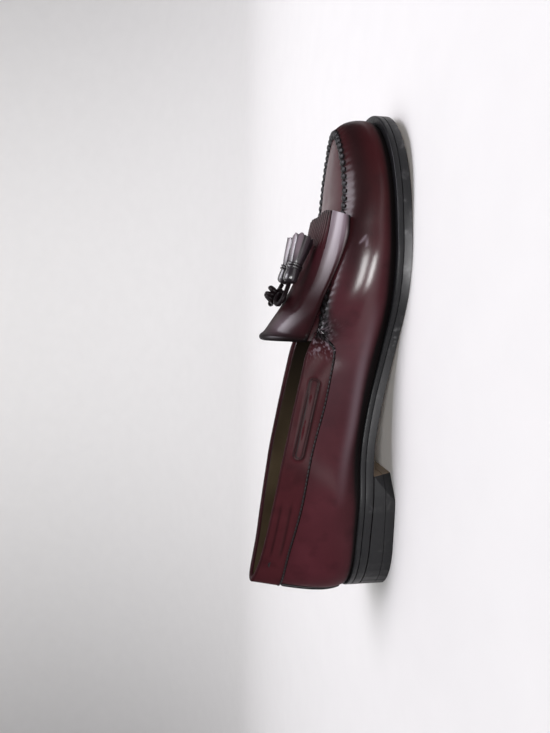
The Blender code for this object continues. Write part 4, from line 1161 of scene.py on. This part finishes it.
def build_band_stitches():
    """Small stitches along the band's lower edge."""
    places = band_places(BAND_STITCH_PITCH)
    places = places[x_at(places) < 0.166]
    share = band_low(places) + BAND_STITCH_INSET / wall_height(places)
    paths, hints = [], []
    for k in range(len(places) - 1):
        t = np.linspace(0.12, 0.88, 6)
        around = places[k] + (places[k + 1] - places[k]) * t
        ups = ups_at(around, share[k] + (share[k + 1] - share[k]) * t)
        normal = wall_normal(around, ups)
        lift = GAP + BAND_THICKNESS + 0.00016 * np.sin(math.pi * np.linspace(0.0, 1.0, 6)) - 0.00012
        paths.append(wall(around, ups) + normal * lift[:, None])
        hints.append(normal)
    points, faces = tubes(paths, BAND_THREAD_RADIUS, 6, 0.8, np.array(hints))
    made = surface("band_stitches", points, [faces], [THREAD], smooth_angle=60.0)


def build_slot_lace(side, label):
    """The lace that shows in the slot, with its soft edges and pinched ends."""
    steps, rows = 60, 11
    half = 0.5 * SLOT_WIDTH - 0.0006
    back, front = side * float(around_at_x(SLOT_BACK)), side * float(around_at_x(SLOT_FRONT))
    ends = ups_at(np.array([back, front]), np.array([SLOT_BACK_HEIGHT, SLOT_FRONT_HEIGHT]))
    t = 0.035 + 0.93 * np.linspace(0.0, 1.0, steps)
    places = back + (front - back) * t
    middle = ends[0] + (ends[1] - ends[0]) * t
    from_end = np.minimum(t, 1.0 - t) * (SLOT_FRONT - SLOT_BACK)
    taper = np.sqrt(1.0 - np.clip(1.0 - from_end / (0.5 * SLOT_WIDTH), 0.0, 1.0)**2)
    spread = half * taper / wall_height(places)
    v = np.linspace(-1.0, 1.0, rows)
    ups = middle[:, None] + spread[:, None] * v[None, :]
    around = np.repeat(places[:, None], rows, axis=1)
    face = wall(around, ups)
    normal = wall_normal(around, ups)
    crown = 0.55 + 0.45 * np.sqrt(np.clip(1.0 - v**2, 0.0, 1.0))
    dip = 1.0 - 0.35 * bell((from_end - 0.0005) / 0.0035)
    height = GAP + LACE_THICKNESS * crown[None, :] * dip[:, None] + 0.00005 * ripple(face, 300.0, 2.0)
    under = (face + normal * GAP).reshape(-1, 3)
    over = (face + normal * height[..., None]).reshape(-1, 3)
    faces = quads(steps, rows)
    if side > 0:
        faces = faces[:, ::-1]
    # Painted shade along the slot's edges, deepest along its upper edge, and at its ends
    edges = 0.95 * np.maximum(v, 0.0)**10 + 0.35 * np.maximum(-v, 0.0)**10
    dark = np.clip(edges[None, :] + 0.3 * bell(from_end / 0.0015)[:, None], 0.0, 1.0)
    # Painted glints at the lace's ends
    pinch = bell((from_end - 0.0012) / 0.0012)[:, None] * bell(v / 0.7)[None, :]
    shades = {"dark": dark.ravel(), "red": np.full(dark.size, 0.6), "dull": np.ones(dark.size),
              "pale": pinch.ravel()}
    made = sheet_solid("slot_lace_" + label, under, over, faces, [BAND_LEATHER] * 3, shades, 55.0)
    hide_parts("lace_in_slot_" + label)


def build_slit(side, label):
    """Little slit at the back of the band, where the hidden lace turns in."""
    place = np.array([side * float(around_at_x(SLIT_X))])
    up = ups_at(place, np.array([SLIT_HEIGHT]))
    face = wall(place, up)[0]
    normal = wall_normal(place, up)[0]
    along = unit(wall(place + 0.004, up)[0] - wall(place - 0.004, up)[0]) * (-side)
    rise = np.cross(normal, along)
    t = np.linspace(0.0, 1.0, 14)
    path = (face + normal * (GAP + BAND_THICKNESS + 0.00002)
            + np.outer((t - 0.5) * SLIT_LENGTH, along)
            + np.outer(SLIT_BEND * (1.0 - (2.0 * t - 1.0)**2), -rise))
    radii = SLIT_RADIUS * np.sin(math.pi * np.clip(t, 0.04, 0.96))**0.5
    points, faces = tubes([path], radii[None, :], 8, flat=0.45, up_hint=np.tile(normal, (1, 14, 1)))
    made = surface("band_slit_" + label, points, [faces], [THREAD], smooth_angle=60.0)


def build_back_stay():
    """Black strip up the back of the heel."""
    dense = np.linspace(0, 0.3, 200)
    half = float(np.interp(0.5 * STAY_WIDTH, wall(dense, np.full(200, 0.3))[:, 1], dense))
    columns, rows = 25, 46
    places = np.linspace(-half, half, columns)
    height = wall_height(places)
    low = (2.0 * GAP + 0.7 * STAY_THICKNESS) / height
    high = read(BAND, "inner", share_at(places)) - 2.0 * GAP / height
    under, over, dark = [], [], []
    for t in np.linspace(0.0, 1.0, rows):
        ups = ups_at(places, low + (high - low) * t)
        face = wall(places, ups)
        normal = wall_normal(places, ups)
        edge = 1.0 - np.abs(places) / half
        body = 0.45 + 0.55 * smoothstep(edge / 0.10) * smoothstep((1.0 - t) / 0.03) * smoothstep(t / 0.03)
        groove = 0.00022 * bell((edge - 0.17) / 0.03)
        under.append(face + normal * GAP)
        over.append(face + normal * (GAP + STAY_THICKNESS * body - groove)[:, None])
        dark.append(np.full(columns, 0.3))
    shades = {"dark": np.concatenate(dark), "red": np.zeros(rows * columns)}
    made = sheet_solid("stay_leather", np.concatenate(under), np.concatenate(over),
                       quads(rows, columns)[:, ::-1], [STAY_LEATHER] * 3, shades, 50.0)
    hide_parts("back_stay")


# Kiltie

def kiltie_point(along, across):
    """Point of the kiltie's underside; along runs back to front, across from -1 to 1."""
    front = KILTIE_FRONT - FRINGE_SWEEP * np.abs(across)**4
    x = KILTIE_BACK + (front - KILTIE_BACK) * along
    place = around_at_x(x)
    middle = plug_point(place, np.zeros_like(place))
    inner = seam_point(-place, np.full_like(place, 0.5), 0.0)
    outer = seam_point(place, np.full_like(place, 0.5), 0.0)
    seam_z = 0.5 * (inner[..., 2] + outer[..., 2])
    half = np.where(across < 0.0, read(KILTIE, "inner", along), read(KILTIE, "outer", along)) * BALL_WIDTH
    edge_z = seam_z + read(KILTIE, "edge", along) * INSTEP_RISE
    top_z = middle[..., 2] + KILTIE_LIFT
    z = edge_z + (top_z - edge_z) * (1.0 - np.abs(across)**read(KILTIE, "power", along))
    return np.stack([x, middle[..., 1] + across * half, z], axis=-1)


def build_kiltie():
    """Fringed flap over the instep, each strip crowned and cut a little differently."""
    widths = np.array([SIDE_STRIP_SHARE] + [1.0] * FRINGE_STRIPS + [SIDE_STRIP_SHARE])
    bounds = np.cumsum(np.append(0.0, widths)) / widths.sum() * 2.0 - 1.0
    slit = 0.5 * SLIT_WIDTH / (KILTIE["inner"].max() * BALL_WIDTH)
    across, strip, inside, is_slit = [], [], [], []
    for k, (a, b) in enumerate(zip(bounds[:-1], bounds[1:])):
        a = a + (slit if k > 0 else 0.0)
        b = b - (slit if k < len(widths) - 1 else 0.0)
        cells = 14 if widths[k] > 1.0 else 7
        spots = np.linspace(a, b, cells + 1)
        across.extend(spots)
        inside.extend(np.linspace(-1.0, 1.0, cells + 1))
        strip.extend([k] * (cells + 1))
        is_slit.extend([False] * cells + [True])
    is_slit = np.array(is_slit[:-1])
    across, strip, inside = np.array(across), np.array(strip), np.array(inside)
    root = 1.0 - FRINGE_LENGTH / KILTIE_LENGTH
    along = np.concatenate([np.linspace(0.0, 0.05, 9), np.linspace(0.05, root, 44)[1:],
                            np.linspace(root, 1.0, 30)[1:]])
    grid_along, grid_across = np.meshgrid(along, across, indexing="ij")
    free = smoothstep((grid_along - root) / (1.0 - root))
    spread = np.sin(strip * 12.9 + 1.7)[None, :]
    lengths = 1.0 - 0.014 * (0.5 + 0.5 * np.sin(strip * 7.3 + 0.4))[None, :] * free
    centres = 0.5 * (bounds[:-1] + bounds[1:])[strip]
    on_side_strip = (strip == 0) | (strip == len(widths) - 1)
    squeeze = 1.0 - 0.14 * free * ~on_side_strip[None, :]
    under = kiltie_point(grid_along * lengths, centres + (grid_across - centres) * squeeze)
    normal = unit(np.cross(np.gradient(under, axis=0), np.gradient(under, axis=1)))
    thickness = np.full(grid_along.shape, 0.82 * KILTIE_THICKNESS)
    crown = (1.0 - inside**2)[None, :] * smoothstep((grid_along - root + 0.03) / 0.08)
    thickness += STRIP_CROWN * crown * np.where(on_side_strip, 0.2, 1.0)[None, :]
    rear = grid_along * KILTIE_LENGTH
    thickness += KILTIE_ROLL * bell((rear - 0.0020) / 0.0018)
    side_edge = (1.0 - np.abs(grid_across)) * 0.04
    thickness *= 0.55 + 0.45 * smoothstep(side_edge / 0.0010)
    thickness *= 0.45 + 0.55 * smoothstep((rear + 0.0002) / 0.0010)
    lift = 0.00035 * (0.5 + 0.5 * spread) * free**2
    lift = lift + 0.00006 * ripple(under, 120.0, 9.0)
    lift = np.maximum(lift, 0.0)
    low = under + normal * lift[..., None]
    over = under + normal * (lift + thickness)[..., None]
    present = np.ones((len(along) - 1, len(across) - 1), dtype=bool)
    fringe = along[:-1] >= root - 1e-6
    present[np.ix_(fringe, is_slit)] = False
    faces = quads(len(along), len(across), present=present)
    used = np.unique(faces)
    index = np.zeros(grid_along.size, dtype=int)
    index[used] = np.arange(len(used))
    # Painted shade along the strips' sides in the fringe and at the flap's side edges; darker dyed cut
    # edges at the tips and the back
    cut = free * (np.abs(inside)**8)[None, :]
    tip = bell((1.0 - grid_along) / 0.02)
    dark = np.clip(0.9 * cut + 0.55 * tip + 1.0 * bell(rear / 0.0040)
                   + 0.5 * bell(side_edge / 0.0010), 0.0, 1.0).ravel()[used]
    red = np.clip(0.1 + 0.7 * smoothstep((grid_along - 0.35) / 0.5), 0.0, 1.0).ravel()[used]
    sheen = np.where(on_side_strip[None, :], smoothstep((grid_along - 0.30) / 0.45), 0.30 * free)
    sheen = sheen + 0.8 * bell((rear - 0.010) / 0.008) * bell((grid_across + 0.50) / 0.28)
    sheen = sheen * smoothstep(side_edge / 0.0022)
    dull = 1.0 - np.clip(sheen, 0.0, 1.0).ravel()[used]
    # Painted reflection: pale lilac on the front of the side strips and a patch near the back corner
    pale = on_side_strip[None, :] * smoothstep((grid_along - 0.50) / 0.45) * smoothstep(side_edge / 0.0016)
    pale = np.maximum(pale, 0.45 * bell((rear - 0.010) / 0.006) * bell((grid_across + 0.50) / 0.22))
    made = sheet_solid("kiltie_leather", low.reshape(-1, 3)[used], over.reshape(-1, 3)[used], index[faces],
                       [KILTIE_LEATHER, LINING, KILTIE_LEATHER],
                       {"dark": dark, "red": red, "dull": dull, "pale": pale.ravel()[used]}, 50.0)
    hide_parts("kiltie")


def kiltie_top(x):
    """Height of the kiltie's upper face on its middle line."""
    along = (x - KILTIE_BACK) / KILTIE_LENGTH
    below = kiltie_point(np.array([along - 0.02, along + 0.02]), np.zeros(2))
    slope = (below[1, 2] - below[0, 2]) / (below[1, 0] - below[0, 0])
    return float(below[:, 2].mean()) + KILTIE_THICKNESS * math.sqrt(1.0 + slope * slope)


# Knot, lace ends and tassels

KNOT_X = 0.1900
KNOT_CLEARANCE = 0.0012
KNOT_STRAND_RADIUS = 0.00155
SIDE_WRAPS = ((-0.0030, 0.5), (0.0, -0.45), (0.0031, 0.4))
TOP_LOOPS = ((-0.0040, 0.5), (-0.0012, -0.5), (0.0016, 0.4))


def knot_core():
    """Pulled-in middle of the knot, which the wraps go round."""
    rings, sides = 12, 24
    angle = math.pi * (np.arange(rings) + 0.5) / rings
    turn = 2.0 * math.pi * np.arange(sides) / sides
    wave = 0.80 + 0.06 * np.cos(6.0 * angle)
    x = -0.46 * KNOT_LENGTH * np.cos(angle)[:, None] * np.ones(sides)
    y = 0.5 * KNOT_WIDTH * (wave * np.sin(angle)**0.7)[:, None] * np.cos(turn)
    z = 0.5 * KNOT_HEIGHT * (wave * np.sin(angle)**0.7)[:, None] * np.sin(turn)
    points = np.stack([x, y, z], axis=-1).reshape(-1, 3)
    faces = [tuple(f) for f in quads(rings, sides, closed=True)[:, ::-1].tolist()]
    faces.append(tuple(range(sides)))
    faces.append(tuple(reversed(range((rings - 1) * sides, rings * sides))))
    return points, faces


def build_knot():
    """The tied lace: three wraps, one along over them and three small loops on top, round a tight core."""
    centre = np.array([KNOT_X, 0.0, kiltie_top(KNOT_X) + 0.5 * KNOT_HEIGHT + KNOT_CLEARANCE])
    tilt = math.atan2(kiltie_top(KNOT_X - 0.005) - kiltie_top(KNOT_X + 0.005), 0.010)
    turn = np.linspace(0.0, 2.0 * math.pi, 41)
    radius = KNOT_STRAND_RADIUS
    loops = []
    for middle, lean in SIDE_WRAPS:
        loops.append((middle + lean * 0.0022 * np.sin(turn), (0.5 * KNOT_WIDTH - radius) * np.cos(turn),
                      (0.5 * KNOT_HEIGHT - radius) * np.sin(turn)))
    loops.append(((0.5 * KNOT_LENGTH - radius) * np.cos(turn), 0.0021 * np.sin(turn + 0.5),
                  (0.5 * KNOT_HEIGHT - 0.6 * radius) * np.sin(turn)))
    for middle, lean in TOP_LOOPS:
        loops.append((middle + lean * 0.0018 * np.sin(turn), 0.0036 * np.cos(turn), 0.0030 * np.sin(turn)))
    paths = np.stack([np.stack(loop, axis=-1) for loop in loops])
    hints = unit(paths)
    paths[-len(TOP_LOOPS):, :, 2] += 0.5 * KNOT_HEIGHT + 0.0010
    points, faces = tubes(paths, radius, 12, flat=0.85, up_hint=hints)
    core, core_faces = knot_core()
    faces += [tuple(int(i) + len(points) for i in f) for f in core_faces]
    points = np.concatenate([points, core])
    c, s = math.cos(tilt), math.sin(tilt)
    turned = np.column_stack([c * points[:, 0] + s * points[:, 2], points[:, 1],
                              -s * points[:, 0] + c * points[:, 2]]) + centre
    shades = {"dark": np.full(len(points), 0.35), "red": np.full(len(points), 0.1)}
    made = surface("lace_knot_wraps", turned, [faces], [LACE_LEATHER], shades, 70.0)
    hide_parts("lace_knot")
    return made


def build_lace_end(label):
    """Free end of the lace, a round cord from the knot to the tassel's head."""
    route = smooth_route(LACE_ROUTES[label], 44)
    curve = bpy.data.curves.new("lace_" + label, "CURVE")
    curve.dimensions = "3D"
    curve.bevel_depth = 0.5 * LACE_DIAMETER
    curve.bevel_resolution = 4
    curve.use_fill_caps = True
    spline = curve.splines.new("POLY")
    spline.points.add(len(route) - 1)
    for point, place in zip(spline.points, route + SHIFT):
        point.co = (*place, 1.0)
    spline.use_smooth = True
    curve.materials.append(LACE_LEATHER)
    made = add_object("lace_" + label, curve)
    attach(made, "root")
    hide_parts("lace_end_" + label)
    length = float(np.linalg.norm(np.diff(route, axis=0), axis=1).sum())
    return made, route, length


STRIP_THICKNESS = 0.0011
STRIP_RINGS = ((1.0, 0.0, 1.0), (0.72, 0.35, 0.8), (0.42, 0.6, 0.5))


def build_tassel(label):
    """Rolled head, wrapped neck and a fringe of leather strips with rounded ends."""
    lace_end = np.array(LACE_ROUTES[label][-1])
    axis = unit(np.array(TASSEL_TAILS[label]) - lace_end)
    head = lace_end + axis * (GAP + 0.15 * LACE_DIAMETER)
    side = unit(np.cross((0.0, 0.0, 1.0), axis))
    above = np.cross(axis, side)
    neck = (TASSEL_HEAD_SHARE + 0.04) * TASSEL_LENGTH
    points, faces, dark, red, pale = [], [], [], [], []

    def place(along, radius, turn):
        return head + along * axis + radius * (math.cos(turn) * side + math.sin(turn) * above)

    def add_rings(profile, sides, shade, wobble=0.0):
        start = len(points)
        for along, radius in profile:
            for k in range(sides):
                turn = 2.0 * math.pi * k / sides
                wave = 1.0 + wobble * math.sin(3.0 * turn + 900.0 * along)
                points.append(place(along, radius * wave, turn))
                dark.append(shade)
                red.append(0.2)
                pale.append(0.0)
        faces.extend(tuple((f[::-1] + start).tolist()) for f in quads(len(profile), sides, closed=True))
        faces.append(tuple(start + k for k in range(sides)))
        last = start + (len(profile) - 1) * sides
        faces.append(tuple(last + k for k in reversed(range(sides))))

    r = TASSEL_HEAD_RADIUS
    roll = [(0.0, 0.45 * r), (0.0006, 0.78 * r), (0.0016, 0.95 * r), (0.0040, 1.0 * r),
            (0.0075, 0.98 * r), (neck - 0.0034, 0.94 * r), (neck + 0.0010, 0.90 * r)]
    add_rings(roll, 28, 0.45, 0.02)
    for start in (neck - 0.0034, neck - 0.0016):
        wrap_profile = ((0.0, 0.92), (0.0002, 1.08), (0.0009, 1.15), (0.0016, 1.08), (0.0018, 0.92))
        add_rings([(start + along, share * r) for along, share in wrap_profile], 28, 0.6)

    # Strips in three rings, one inside the other
    steps, cells = 13, 6
    for ring, (reach, offset, root) in enumerate(STRIP_RINGS):
        count = TASSEL_STRIPS - 2 * ring
        for k in range(count):
            seed = 3.1 * k + 17.0 * ring
            turn = 2.0 * math.pi * (k + offset + 0.07 * math.sin(seed)) / count
            total = TASSEL_LENGTH - neck - 0.0003 - 0.0016 * (0.5 + 0.5 * math.sin(2.3 * seed + 1.0))
            tail = (TASSEL_TAIL_RADIUS - 0.0004) * reach * (1.0 - 0.06 * math.cos(1.7 * seed))
            half = 0.94 * math.pi * TASSEL_TAIL_RADIUS * reach / count
            upward = (0.75 + 0.25 * math.sin(2.1 * seed)) * smoothstep(0.55 + 0.9 * math.sin(turn))
            start = len(points)
            for layer in (0, 1):
                for i in range(steps):
                    t = i / (steps - 1)
                    along = neck - 0.0006 + total * t
                    radius = 0.86 * r * root * (1.0 - t**0.75) + tail * t**0.75
                    radius -= STRIP_THICKNESS * (1 - layer)
                    round_end = math.sqrt(max(0.0, 1.0 - max(0.0, (t - 0.90) / 0.105)**2))
                    narrow = (0.62 + 0.38 * t**0.8) * max(round_end, 0.25)
                    twist = 0.10 * math.sin(seed) * t
                    for j in range(cells + 1):
                        v = 2.0 * j / cells - 1.0
                        cup = -0.00035 * v * v * (0.3 + 0.7 * t)
                        bend = v * half * narrow
                        angle = turn + twist
                        centre = place(along, radius + cup, angle)
                        tangent = -math.sin(angle) * side + math.cos(angle) * above
                        points.append(centre + tangent * bend)
                        # Painted shade: darker at the strips' edges and on the inner rings
                        dark.append(min(1.0, 0.10 + 0.8 * abs(v)**4 + 0.45 * ring))
                        red.append(0.35)
                        # Painted reflection: pale lilac on the outer strips that face up
                        sheen = upward * smoothstep(t / 0.5) * (1.0 - abs(v)**3)
                        pale.append(float(sheen) if ring == 0 else 0.0)
            size = steps * (cells + 1)
            grid = quads(steps, cells + 1)
            faces.extend(tuple(f) for f in (grid + start).tolist())
            faces.extend(tuple(f) for f in (grid[:, ::-1] + start + size).tolist())
            edge = rim_faces([grid], size)
            faces.extend(tuple(f) for f in (edge[:, ::-1] + start).tolist())
    made = surface("tassel_strips_" + label, np.array(points), [faces], [TASSEL_LEATHER],
                   {"dark": dark, "red": red, "pale": pale}, 45.0)
    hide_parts("tassel_" + label)
    return made


# Sole and heel

def edge_ring(places, profile, low, high):
    """Rows of points round the sole's edge; the profile gives inset and height share."""
    edge = sole_edge(places)
    out = outward(sole_edge, places)
    rows = []
    for inset, share in profile:
        flat = edge - out * inset
        bottom, top = low(edge[:, 0]), high(edge[:, 0])
        rows.append(np.column_stack([flat, bottom + (top - bottom) * share]))
    return rows


def ruled_plate(name, rows, materials, tones=None):
    """Closed plate from rings stacked up its edge, with bottom and top ruled from side to side."""
    count = len(rows[0])
    middle = count // 2
    sides = quads(len(rows), count, closed=True)[:, ::-1]
    bottom = []
    for k in range(middle):
        a, b = middle - k, middle - k - 1
        c, d = (middle + k) % count, (middle + k + 1) % count
        bottom.append((a, b, d) if a == c else (a, b, c) if b == d else (a, b, d, c))
    last = (len(rows) - 1) * count
    top = [tuple(last + i for i in reversed(corners)) for corners in bottom]
    groups = [[tuple(f) for f in sides.tolist()], bottom, top]
    return surface(name, np.concatenate(rows), groups, materials, tones, 40.0)


def edge_profile(thickness, low_round, high_round, steps=4):
    """Inset and height share up an edge with rounded corners."""
    angle = 0.5 * math.pi * np.arange(steps + 1) / steps
    low, high = low_round / thickness, high_round / thickness
    inset = np.concatenate([low_round * (1.0 - np.sin(angle)), high_round * (1.0 - np.cos(angle))])
    share = np.concatenate([low * (1.0 - np.cos(angle)), 1.0 - high * (1.0 - np.sin(angle))])
    return list(zip(inset, share))


def edge_wear(points):
    """Rubbed patch beside the ball on the inner side and a little at the toe; the edge is also a little
    lighter about the waist.
    """
    x, y, z = points[:, 0], points[:, 1], points[:, 2]
    low = bell((z - outsole_bottom(x) - 0.0022) / 0.0022)
    patch = bell((x - 0.212) / 0.017) * (y < 0.0) * low
    toe = 0.12 * bell((x - 0.286) / 0.010) * low
    breaks = 0.75 + 0.25 * ripple(points, 240.0, 4.0)
    # A little lighter about the waist
    waist = 0.10 * bell((x - 0.130) / 0.035)
    return np.clip((patch + toe) * breaks + waist, 0.0, 1.0)


def build_outsole():
    """Leather sole with a rounded lower edge and the rubbed patch beside the ball."""
    places = full_loop(even_places(sole_edge, 1.0, SOLE_SPACING))
    profile = edge_profile(OUTSOLE_THICKNESS, 0.0009, 0.0003)
    rows = edge_ring(places, profile, outsole_bottom, outsole_top)
    made = ruled_plate("sole_plate", rows, [SOLE_EDGE, TREAD, SOLE_EDGE],
                       {"worn": edge_wear(np.concatenate(rows))})
    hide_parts("outsole")


def build_welt():
    """Welt strip with a rounded upper edge."""
    places = full_loop(even_places(sole_edge, 1.0, WELT_SPACING))
    rows = edge_ring(places, edge_profile(WELT_THICKNESS, 0.0003, 0.0007), welt_bottom, welt_top)
    width = both(OUTLINE, "inset_", places) * BALL_WIDTH
    edge = sole_edge(places)
    out = outward(sole_edge, places)
    for share in (0.35, 0.6, 0.85):
        flat = edge - out * (0.0007 + (width - 0.0007 - GAP) * share)[:, None]
        rows.append(np.column_stack([flat, welt_top(edge[:, 0])]))
    inside = feather(places, -GAP)
    rows.append(np.column_stack([inside, welt_top(edge[:, 0])]))
    rows.append(np.column_stack([inside, welt_bottom(edge[:, 0])]))
    points = np.concatenate(rows)
    count = len(places)
    faces = quads(len(rows) + 1, count, closed=True) % (len(rows) * count)
    made = surface("welt_strip", points, [faces[:, ::-1]], [WELT_EDGE],
                   {"worn": np.zeros(len(points))}, 40.0)
    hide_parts("welt")


def lay_insole():
    """Sock lining with a rounded edge."""
    places = full_loop(even_places(sole_edge, 1.0, INSOLE_SPACING))
    rows = []
    for inward, share in ((0.0, 0.0), (0.0, 0.72), (0.0006, 0.94), (0.0016, 1.0)):
        edge = feather(places, WALL + GAP + inward)
        low, high = welt_bottom(edge[:, 0]), insole_top(edge[:, 0])
        rows.append(np.column_stack([edge, low + (high - low) * share]))
    made = ruled_plate("sock_lining", rows, [LINING] * 3)
    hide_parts("insole")


def finish_heel():
    """The heel's solids keep their own shape and get their finish by face."""
    for name, low_material in (("heel_stack", HEEL_EDGE), ("top_lift", RUBBER)):
        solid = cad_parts[name]
        solid.data.materials.clear()
        for made in (HEEL_EDGE, BREAST, low_material):
            solid.data.materials.append(made)
        for face in solid.data.polygons:
            forward = face.normal.x > 0.9
            face.material_index = 1 if forward else (2 if face.normal.z < -0.9 else 0)


# Camera, lights and stage

CAMERA = np.array([0.18085, -0.39501, 0.13026])
LOOK = np.array([-0.08858, 0.98504, -0.14779])
RIGHT = np.array([0.0136018, -0.1471654, -0.9890184])
FOCAL_PIXELS = 620.0
PHOTO_HEIGHT = 733.0
SENSOR = 36.0
STRIP_DISTANCE = 1.3
STRIP_LENGTH = 0.42
STRIP_HEIGHT = 0.24


def place_camera():
    """The photo's camera, turned on its side as in the photo."""
    data = bpy.data.cameras.new("camera")
    data.sensor_width = SENSOR
    data.lens = SENSOR * FOCAL_PIXELS / PHOTO_HEIGHT
    data.clip_start = 0.01
    made = add_object("camera", data)
    look = Vector(LOOK).normalized()
    right = Vector(RIGHT).normalized()
    up = right.cross(look)
    turn = Matrix((right, up, -look)).transposed().to_4x4()
    made.matrix_world = Matrix.Translation(Vector(CAMERA + SHIFT)) @ turn
    bpy.context.scene.camera = made


def place_light(name, position, target, size, power, colour=(1.0, 1.0, 1.0), size_y=None):
    """Soft rectangular lamp that faces a point of the shoe."""
    data = bpy.data.lights.new(name, "AREA")
    data.shape = "RECTANGLE"
    data.size = size
    data.size_y = size_y or size
    data.energy = power
    data.color = colour
    made = add_object(name, data)
    position, target = Vector(position), Vector(target)
    made.location = position
    made.rotation_euler = (target - position).to_track_quat("-Z", "Y").to_euler()


def plain_stage():
    """Pale floor that curves up into a pale backdrop behind the shoe, with painted shade on the floor
    towards the camera.
    """
    depth, rise, bend = 1.6, 2.2, 0.7
    profile = [(-2.2, 0.0)]
    profile += [(depth - bend + bend * math.sin(a), bend - bend * math.cos(a))
                for a in np.linspace(0.0, 0.5 * math.pi, 16)]
    profile.append((depth, rise))
    points = [(x, y, z) for y, z in profile for x in (-3.0, 3.0)]
    faces = [(2 * k, 2 * k + 1, 2 * k + 3, 2 * k + 2) for k in range(len(profile) - 1)]
    mesh = bpy.data.meshes.new("backdrop")
    mesh.from_pydata(points, [], faces)
    mesh.shade_smooth()
    made, tree, shader, place = new_material("paper", {"Roughness": 0.8, "Specular IOR Level": 0.2})
    fibre = noise_value(tree, place, 30.0, 3.0)
    colour = mix_colour(tree, fibre, (0.770, 0.762, 0.745, 1.0), (0.806, 0.798, 0.780, 1.0))
    # Painted shade: the floor grows dark towards the camera, so the polish reflects dark there
    reach = node(tree, "SeparateXYZ", {"Vector": place}).outputs["Y"]
    near = span(tree, reach, -0.50, -0.22, 1.0, 0.0)
    colour = mix_colour(tree, near, colour, (0.30, 0.30, 0.305, 1.0))
    tree.links.new(colour, shader.inputs["Base Color"])
    mesh.materials.append(made)
    backdrop = add_object("backdrop", mesh)


def light_the_scene():
    """Two strips that streak the vamp, a lamp for the crown, one overhead and one on the backdrop."""
    world = bpy.data.worlds.new("studio")
    bpy.context.scene.world = world
    world.use_nodes = True
    room = world.node_tree.nodes["Background"]
    room.inputs["Color"].default_value = (0.92, 0.90, 1.0, 1.0)
    room.inputs["Strength"].default_value = 0.06
    bpy.context.scene.view_settings.view_transform = "Standard"
    vamp = Vector((0.20, -0.045, 0.027)) + Vector(SHIFT)
    for name, direction, power in (("strip_upper", (-0.010, -0.905, 0.400), 6.8),
                                   ("strip_lower", (-0.090, -0.993, 0.030), 9.0)):
        spot = vamp + STRIP_DISTANCE * Vector(direction)
        place_light(name, spot, vamp, STRIP_LENGTH, power, size_y=STRIP_HEIGHT)
    place_light("crown_lamp", (0.45, -0.02, 1.36), (0.06, -0.02, 0.05), 0.8, 11.0, (0.93, 0.90, 1.0))
    place_light("overhead", (0.1, 0.20, 1.5), (0.1, 0.20, 0.0), 1.6, 8.0, (0.97, 0.95, 1.0))
    place_light("backdrop_lamp", (0.0, 0.45, 1.5), (0.0, 1.6, 0.5), 1.6, 11.5)


place_camera()
laces = {label: build_lace_end(label) for label in ("inner", "outer")}
build_upper()
build_seam_stitches()
build_band()
build_band_stitches()
for slot_side, slot_label in SIDES:
    build_slot_lace(slot_side, slot_label)
    build_slit(slot_side, slot_label)
build_back_stay()
build_kiltie()
knot = build_knot()
for lace_label, (lace, lace_route, lace_length) in laces.items():
    carried = [build_tassel(lace_label)]
    if lace_label == "inner":
        carried.append(knot)
build_outsole()
build_welt()
lay_insole()
finish_heel()
plain_stage()
light_the_scene()
